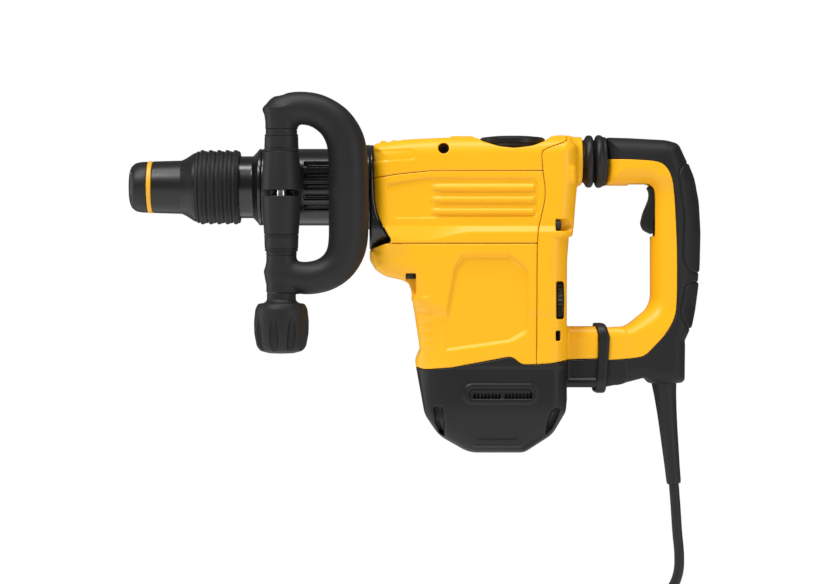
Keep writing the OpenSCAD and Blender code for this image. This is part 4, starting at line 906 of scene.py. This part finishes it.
for z0 in (58, 18):
    loop = cut(loop, tube(g, [(-286.4, CY - 16, z0, 0.9), (-286.4, CY - 8, z0, 0.9)]))
place(surface("side_grip_loop", loop, g, GRIP), "side_grip", "grip_black", "side_grip")


def detent_ring(name, z_seam, z_line, z_end, r_seam, r_end, r_collar, material):
    """Turned collar on the side handle's column, with a zig-zag line cut around it near the jaw."""
    m = 312
    a = np.arange(m) * 2 * math.pi / m
    zig = z_line + (np.abs(np.mod(a * 26 / (2 * math.pi), 1) * 2 - 1) * 2 - 1) * 1.0
    way = 1 if z_end > z_seam else -1
    heights = [z_seam + way * 0.2 * k for k in range(17)] + list(np.linspace(z_seam + way * 3.6, z_end,
        40))
    rows = [np.stack([(r_seam - 0.5) * np.cos(a), (r_seam - 0.5) * np.sin(a), np.full(m, z_seam)], 1)]
    for z in heights:
        t = (z - z_seam) / (z_end - z_seam)
        r = r_seam + (r_end - r_seam) * t
        if t > 0.78:
            r = r_collar
        if abs(t - 0.69) < 0.016:
            r -= 0.45
        cut_in = 0.55 * np.clip(1.6 - np.abs(z - zig) / 0.26, 0, 1)
        rows.append(np.stack([(r - cut_in) * np.cos(a), (r - cut_in) * np.sin(a), np.full(m, z)], 1))
    for z in (z_end, z_seam):
        rows.append(np.stack([4.2 * np.cos(a), 4.2 * np.sin(a), np.full(m, z)], 1))
    co = np.concatenate(rows) + np.array([CX, CY, 0])
    total = len(rows)
    i, j = np.meshgrid(np.arange(total), np.arange(m), indexing="ij")
    ii, jj = (i + 1) % total, (j + 1) % m
    quads = np.stack([i * m + j, i * m + jj, ii * m + jj, ii * m + j], -1).reshape(-1, 4)
    return finish_mesh(mesh_object(name, co * MM, [quads], material), 40)


upper_ring = detent_ring("detent_ring_upper", 77.2, 79.0, 95.0, 14.1, 13.6, 12.9, GRIP)
lower_ring = detent_ring("detent_ring_lower", 8.8, 7.0, -8.0, 14.1, 13.5, 12.5, GRIP)
for o in (upper_ring, lower_ring):
    place(o, "side_grip", "hard_black")
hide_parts("detent_rings")

g = Grid((-348, -70, 6), (-309, -14, 81), 0.5)
X, Y, Z = g.x, g.y, g.z
column = np.hypot(X - CX, Y - CY)
tr = 16.6 - 2.6 * np.clip((Z - 45.5) / 33.1, 0, 1) ** 1.3
bottom = 16.0 - 2.0 * np.clip((40.5 - Z) / 33, 0, 1) ** 1.3
jaw_up = meet(column - tr, np.maximum(45.5 - Z, Z - 77.0), 0.4)
jaw_low = meet(column - bottom, np.maximum(9.0 - Z, Z - 40.5), 0.4)
root_up = block(g, (-341, CY, 45.5), (-316, -15, 65.5), 2)
root_low = block(g, (-341, CY, 20.5), (-316, -15, 40.5), 2)
jaws = np.minimum(join(jaw_up, root_up, 3), join(jaw_low, root_low, 3))
jaws = np.maximum(jaws, np.minimum(45.5 - Z, Z - 40.5) * 1.0)
jaws = np.maximum(jaws, 35.6 - np.hypot(Y, Z - AXIS_Z))
jaws = cut(jaws, column - 4.2)
place(surface("clamp_jaw_pair", jaws, g, GRIP), "side_clamp", "hard_black", "clamp_jaws")

# strap of the side clamp, a closed ring around the barrel with raised edges
band = [(-338.4, 32.5, 0.3), (-338.4, 34.7, 0.8), (-335.6, 35.2, 0.6), (-334.6, 34.5, 0.6),
    (-322.4, 34.5, 0.6), (-321.4, 35.2, 0.6), (-318.6, 34.7, 0.8), (-318.6, 32.5, 0.3)]
place(lathe("clamp_strap", rounded_profile(band, 0), GLOSS), "side_clamp", "barrel_black", "clamp_band")

# knob with elongated scallops
g = Grid((-353, -77, -91), (-304, -27, -37.5), 0.5)
X, Y, Z = g.x, g.y, g.z
column = np.hypot(X - CX, Y - CY)
profile = polygon(fillet([(0, -88.6, 0), (10, -88.2, 12), (17.6, -86.2, 6), (20.4, -82, 6),
    (22.3, -72, 20), (22.5, -62, 20), (21.4, -52, 8),
                          (19.2, -47.6, 3), (14.4, -46.9, 2), (11.9, -45, 3), (11.9, -38.74, 0.2),
                          (0, -38.74, 0)]), column, Z)
knob = profile
for k in range(9):
    a = math.radians(-90 - 14 + 40 * k)
    path = [(CX + r * math.cos(a), CY + r * math.sin(a), z, w) for r, z, w in
            ((23.9, -57, 1.8), (23.2, -64, 3.1), (22.6, -72, 3.8), (21.8, -80, 4.0), (20.0, -86.3, 3.4))]
    knob = cut(knob, tube(g, path), 0.3)
knob = cut(knob, np.maximum(column - 4.2, -78 - Z))
knob = cut(knob, np.maximum(column - 10.3, -42.0 - Z))
place(surface("clamp_knob_grip", knob, g, GRIP), "clamp_knob", "hard_black", "clamp_knob")

# ---------------------------------------------------------------- controls

dial_profile = [(0.0, 0), (0.0, 6), (0.2, 6), (0.2, 27.2), (3.4, 27.7), (3.9, 27.0), (4.4, 27.0),
    (4.8, 27.7), (8.8, 27.5), (10.2, 25.8), (11.1, 18), (11.5, 9), (11.7, 0)]
dial = lathe("selector_dial_cap", fillet([(a + 81.2, b, 0.5) for a, b in dial_profile]), BLACK,
    (-137.3, 0, 0), "Z", 96, 30)
place(dial, "selector_dial", "hard_black", "selector_dial")

wheel_rows = []
segs = 144
a = np.arange(segs) * 2 * math.pi / segs
teeth = 0.55 * np.clip(np.cos(a * 36) * 3, -1, 1)
for x, r, tooth in ((-102.0, 0.01, 0), (-102.0, 18.6, 0), (-101.4, 19.3, 1), (-97.8, 19.3, 1),
    (-97.2, 18.6, 0), (-97.2, 0.01, 0)):
    rr = r + teeth * tooth
    wheel_rows.append(np.stack([np.full(segs, x), -25 + rr * np.cos(a), -44.8 + rr * np.sin(a)], 1))
i, j = np.meshgrid(np.arange(len(wheel_rows) - 1), np.arange(segs), indexing="ij")
quads = np.stack([i * segs + j, i * segs + (j + 1) % segs, (i + 1) * segs + (j + 1) % segs,
    (i + 1) * segs + j], -1).reshape(-1, 4)
wheel = finish_mesh(mesh_object("speed_wheel_rim", np.concatenate(wheel_rows) * MM, [quads], BLACK), 30)
place(wheel, "speed_wheel", "hard_black", "speed_wheel")

# ---------------------------------------------------------------- cord pieces

PX, PY, PZ = -110.0, -CORD_D, FLOOR_Z + 17.5
g = Grid((-165, -28, FLOOR_Z - 0.6), (-95, 11, FLOOR_Z + 36.5), 0.5)
X, Y, Z = g.x, g.y, g.z
R = np.hypot(Y - PY, Z - PZ)
along = PX - X
plug = meet(R - 17.3, np.maximum(24 - along, along - 51.8), 2.5)
plug = join(plug, np.maximum(R - (9.5 + 0.42 * np.clip(along - 8, 0, 18)),
    np.maximum(9 - along, along - 30)), 3)
plug = join(plug, tube(g, [(PX + 0.5, PY, PZ - 12.2, 4.6), (PX - 30, PY, PZ - 12.2, 5.2)]), 3)
plug = join(plug, block(g, (PX - 26, PY - 6, PZ - 15), (PX - 4, PY + 6, PZ - 3), 2), 3)
for k in range(5):
    plug = plug + 0.7 * ramp(0.9 - np.abs(along - 30 - 3.6 * k), 0, 0.6) * ramp(np.abs(Z - PZ), 4, 7)
plug = cut(plug, np.maximum(R - 14.8, 50.9 - along), 0.3)
for w in (-9.5, 9.5):
    plug = cut(plug, np.maximum(np.hypot(Y - PY - w, Z - PZ) - 2.5, 40 - along))
plug = cut(plug, tube(g, [(PX + 6, PY, PZ - 12.2, 4.3), (PX - 5, PY, PZ - 12.2, 4.3)]))
plug_shell = place(surface("plug_moulding", plug, g, RUBBER), "rear_handle", "cord_rubber", "plug_body")
pin = [(PX - 42, 0.01), (PX - 42, 2.35), (PX - 69.6, 2.35), (PX - 70.6, 1.8), (PX - 71, 0.9),
    (PX - 71, 0.01)]
contacts = [place(lathe("plug_contact_" + side_name, pin, STEEL, (0, PY + w, PZ), "X", 40),
    "rear_handle", "steel")
            for side_name, w in (("near", -9.5), ("far", 9.5))]
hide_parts("plug_pins")
# strap that ties the coil, with its buckle and loose end
tie_z = FLOOR_Z + TIE_T + 2 * CORD_D
g = Grid((COIL_X - 8, 84, FLOOR_Z - 0.6), (COIL_X + 8, 117, FLOOR_Z + 40.5), 0.4)
X, Y, Z = g.x, g.y, g.z


def tie_outline(w, h, r):
    y0, z0 = 2 * COIL_Y, tie_z
    return polygon(fillet([(y0 - w, z0 - h, r), (y0 + w, z0 - h, r), (y0 + w, z0 + h, r),
        (y0 - w, z0 + h, r)]), Y, Z)


strap = np.maximum(np.maximum(tie_outline(14.2, 17.9, 5.2), -tie_outline(13.0, 16.9, 4.2)),
    np.abs(X - COIL_X) - 5)
strap = strap + 0.15 * ramp(0.5 - np.abs(np.mod(X - COIL_X, 2.5) - 1.25), 0, 0.4)
buckle = cut(block(g, (COIL_X - 6.4, 94, tie_z + 17.2), (COIL_X + 6.4, 103, tie_z + 20.2), 0.8),
             block(g, (COIL_X - 4.9, 96.2, tie_z + 18.4), (COIL_X + 4.9, 100.8, tie_z + 21), 0.5), 0.3)
strap = join(join(strap, buckle, 0.4), block(g, (COIL_X - 4.6, 101, tie_z + 18.0),
    (COIL_X + 4.6, 109.5, tie_z + 19.0), 0.5), 0.3)
strap_obj = place(surface("coil_strap", strap, g, RUBBER), "rear_handle", "rubber", "cord_tie")

cord.data.materials.append(CORDM)
place(cord, "rear_handle", "cord_rubber", "cord_runs", "cord_coil")

# ---------------------------------------------------------------- floor, backdrop and light


def stage_plane(name, corners, material):
    me = bpy.data.meshes.new(name)
    me.from_pydata(corners, [], [(0, 1, 2, 3)])
    me.materials.append(material)
    o = link(bpy.data.objects.new(name, me))
    return o


floor_material = bpy.data.materials.new("pale_floor")
floor_material.use_nodes = True
fb = floor_material.node_tree.nodes["Principled BSDF"]
fb.inputs["Base Color"].default_value = (0.93, 0.93, 0.93, 1)
fb.inputs["Roughness"].default_value = 0.9
fb.inputs["Emission Color"].default_value = (1, 1, 1, 1)
fb.inputs["Emission Strength"].default_value = 0.3
stage_plane("floor", [(-2.5, -2.5, FLOOR_Z * MM), (2.5, -2.5, FLOOR_Z * MM), (2.5, 0.4, FLOOR_Z * MM),
    (-2.5, 0.4, FLOOR_Z * MM)], floor_material)

world = bpy.data.worlds.new("studio")
bpy.context.scene.world = world
world.use_nodes = True
wt = world.node_tree
sky = wt.nodes["Background"]
sky.inputs["Color"].default_value = (1, 1, 1, 1)
sky.inputs["Strength"].default_value = 0.16
seen = wt.nodes.new("ShaderNodeBackground")
seen.inputs["Color"].default_value = (1, 1, 1, 1)
seen.inputs["Strength"].default_value = 1.0
path = wt.nodes.new("ShaderNodeLightPath")
pick = wt.nodes.new("ShaderNodeMixShader")
wt.links.new(path.outputs["Is Camera Ray"], pick.inputs["Fac"])
wt.links.new(sky.outputs["Background"], pick.inputs[1])
wt.links.new(seen.outputs["Background"], pick.inputs[2])
wt.links.new(pick.outputs["Shader"], wt.nodes["World Output"].inputs["Surface"])
bpy.context.scene.view_settings.view_transform = "Standard"


def area(name, location, target, size, power, size_y=None):
    data = bpy.data.lights.new(name, "AREA")
    data.energy = power
    data.size = size
    if size_y:
        data.shape = "RECTANGLE"
        data.size_y = size_y
    o = link(bpy.data.objects.new(name, data))
    o.location = location
    o.rotation_mode = "QUATERNION"
    o.rotation_quaternion = (Vector(target) - Vector(location)).to_track_quat("-Z", "Y")
    return o


area("key", (-1.3, -1.3, 1.9), (-0.2, 0, 0), 0.6, 36, 0.4)
area("fill", (1.7, -1.7, 0.5), (-0.2, 0, -0.03), 0.5, 12, 1.0)
area("top", (-0.2, -0.5, 2.0), (-0.2, 0, 0), 1.5, 26, 0.4)
area("edge", (-2.2, 0.2, 0.2), (-0.2, 0, 0), 0.4, 9, 1.2)
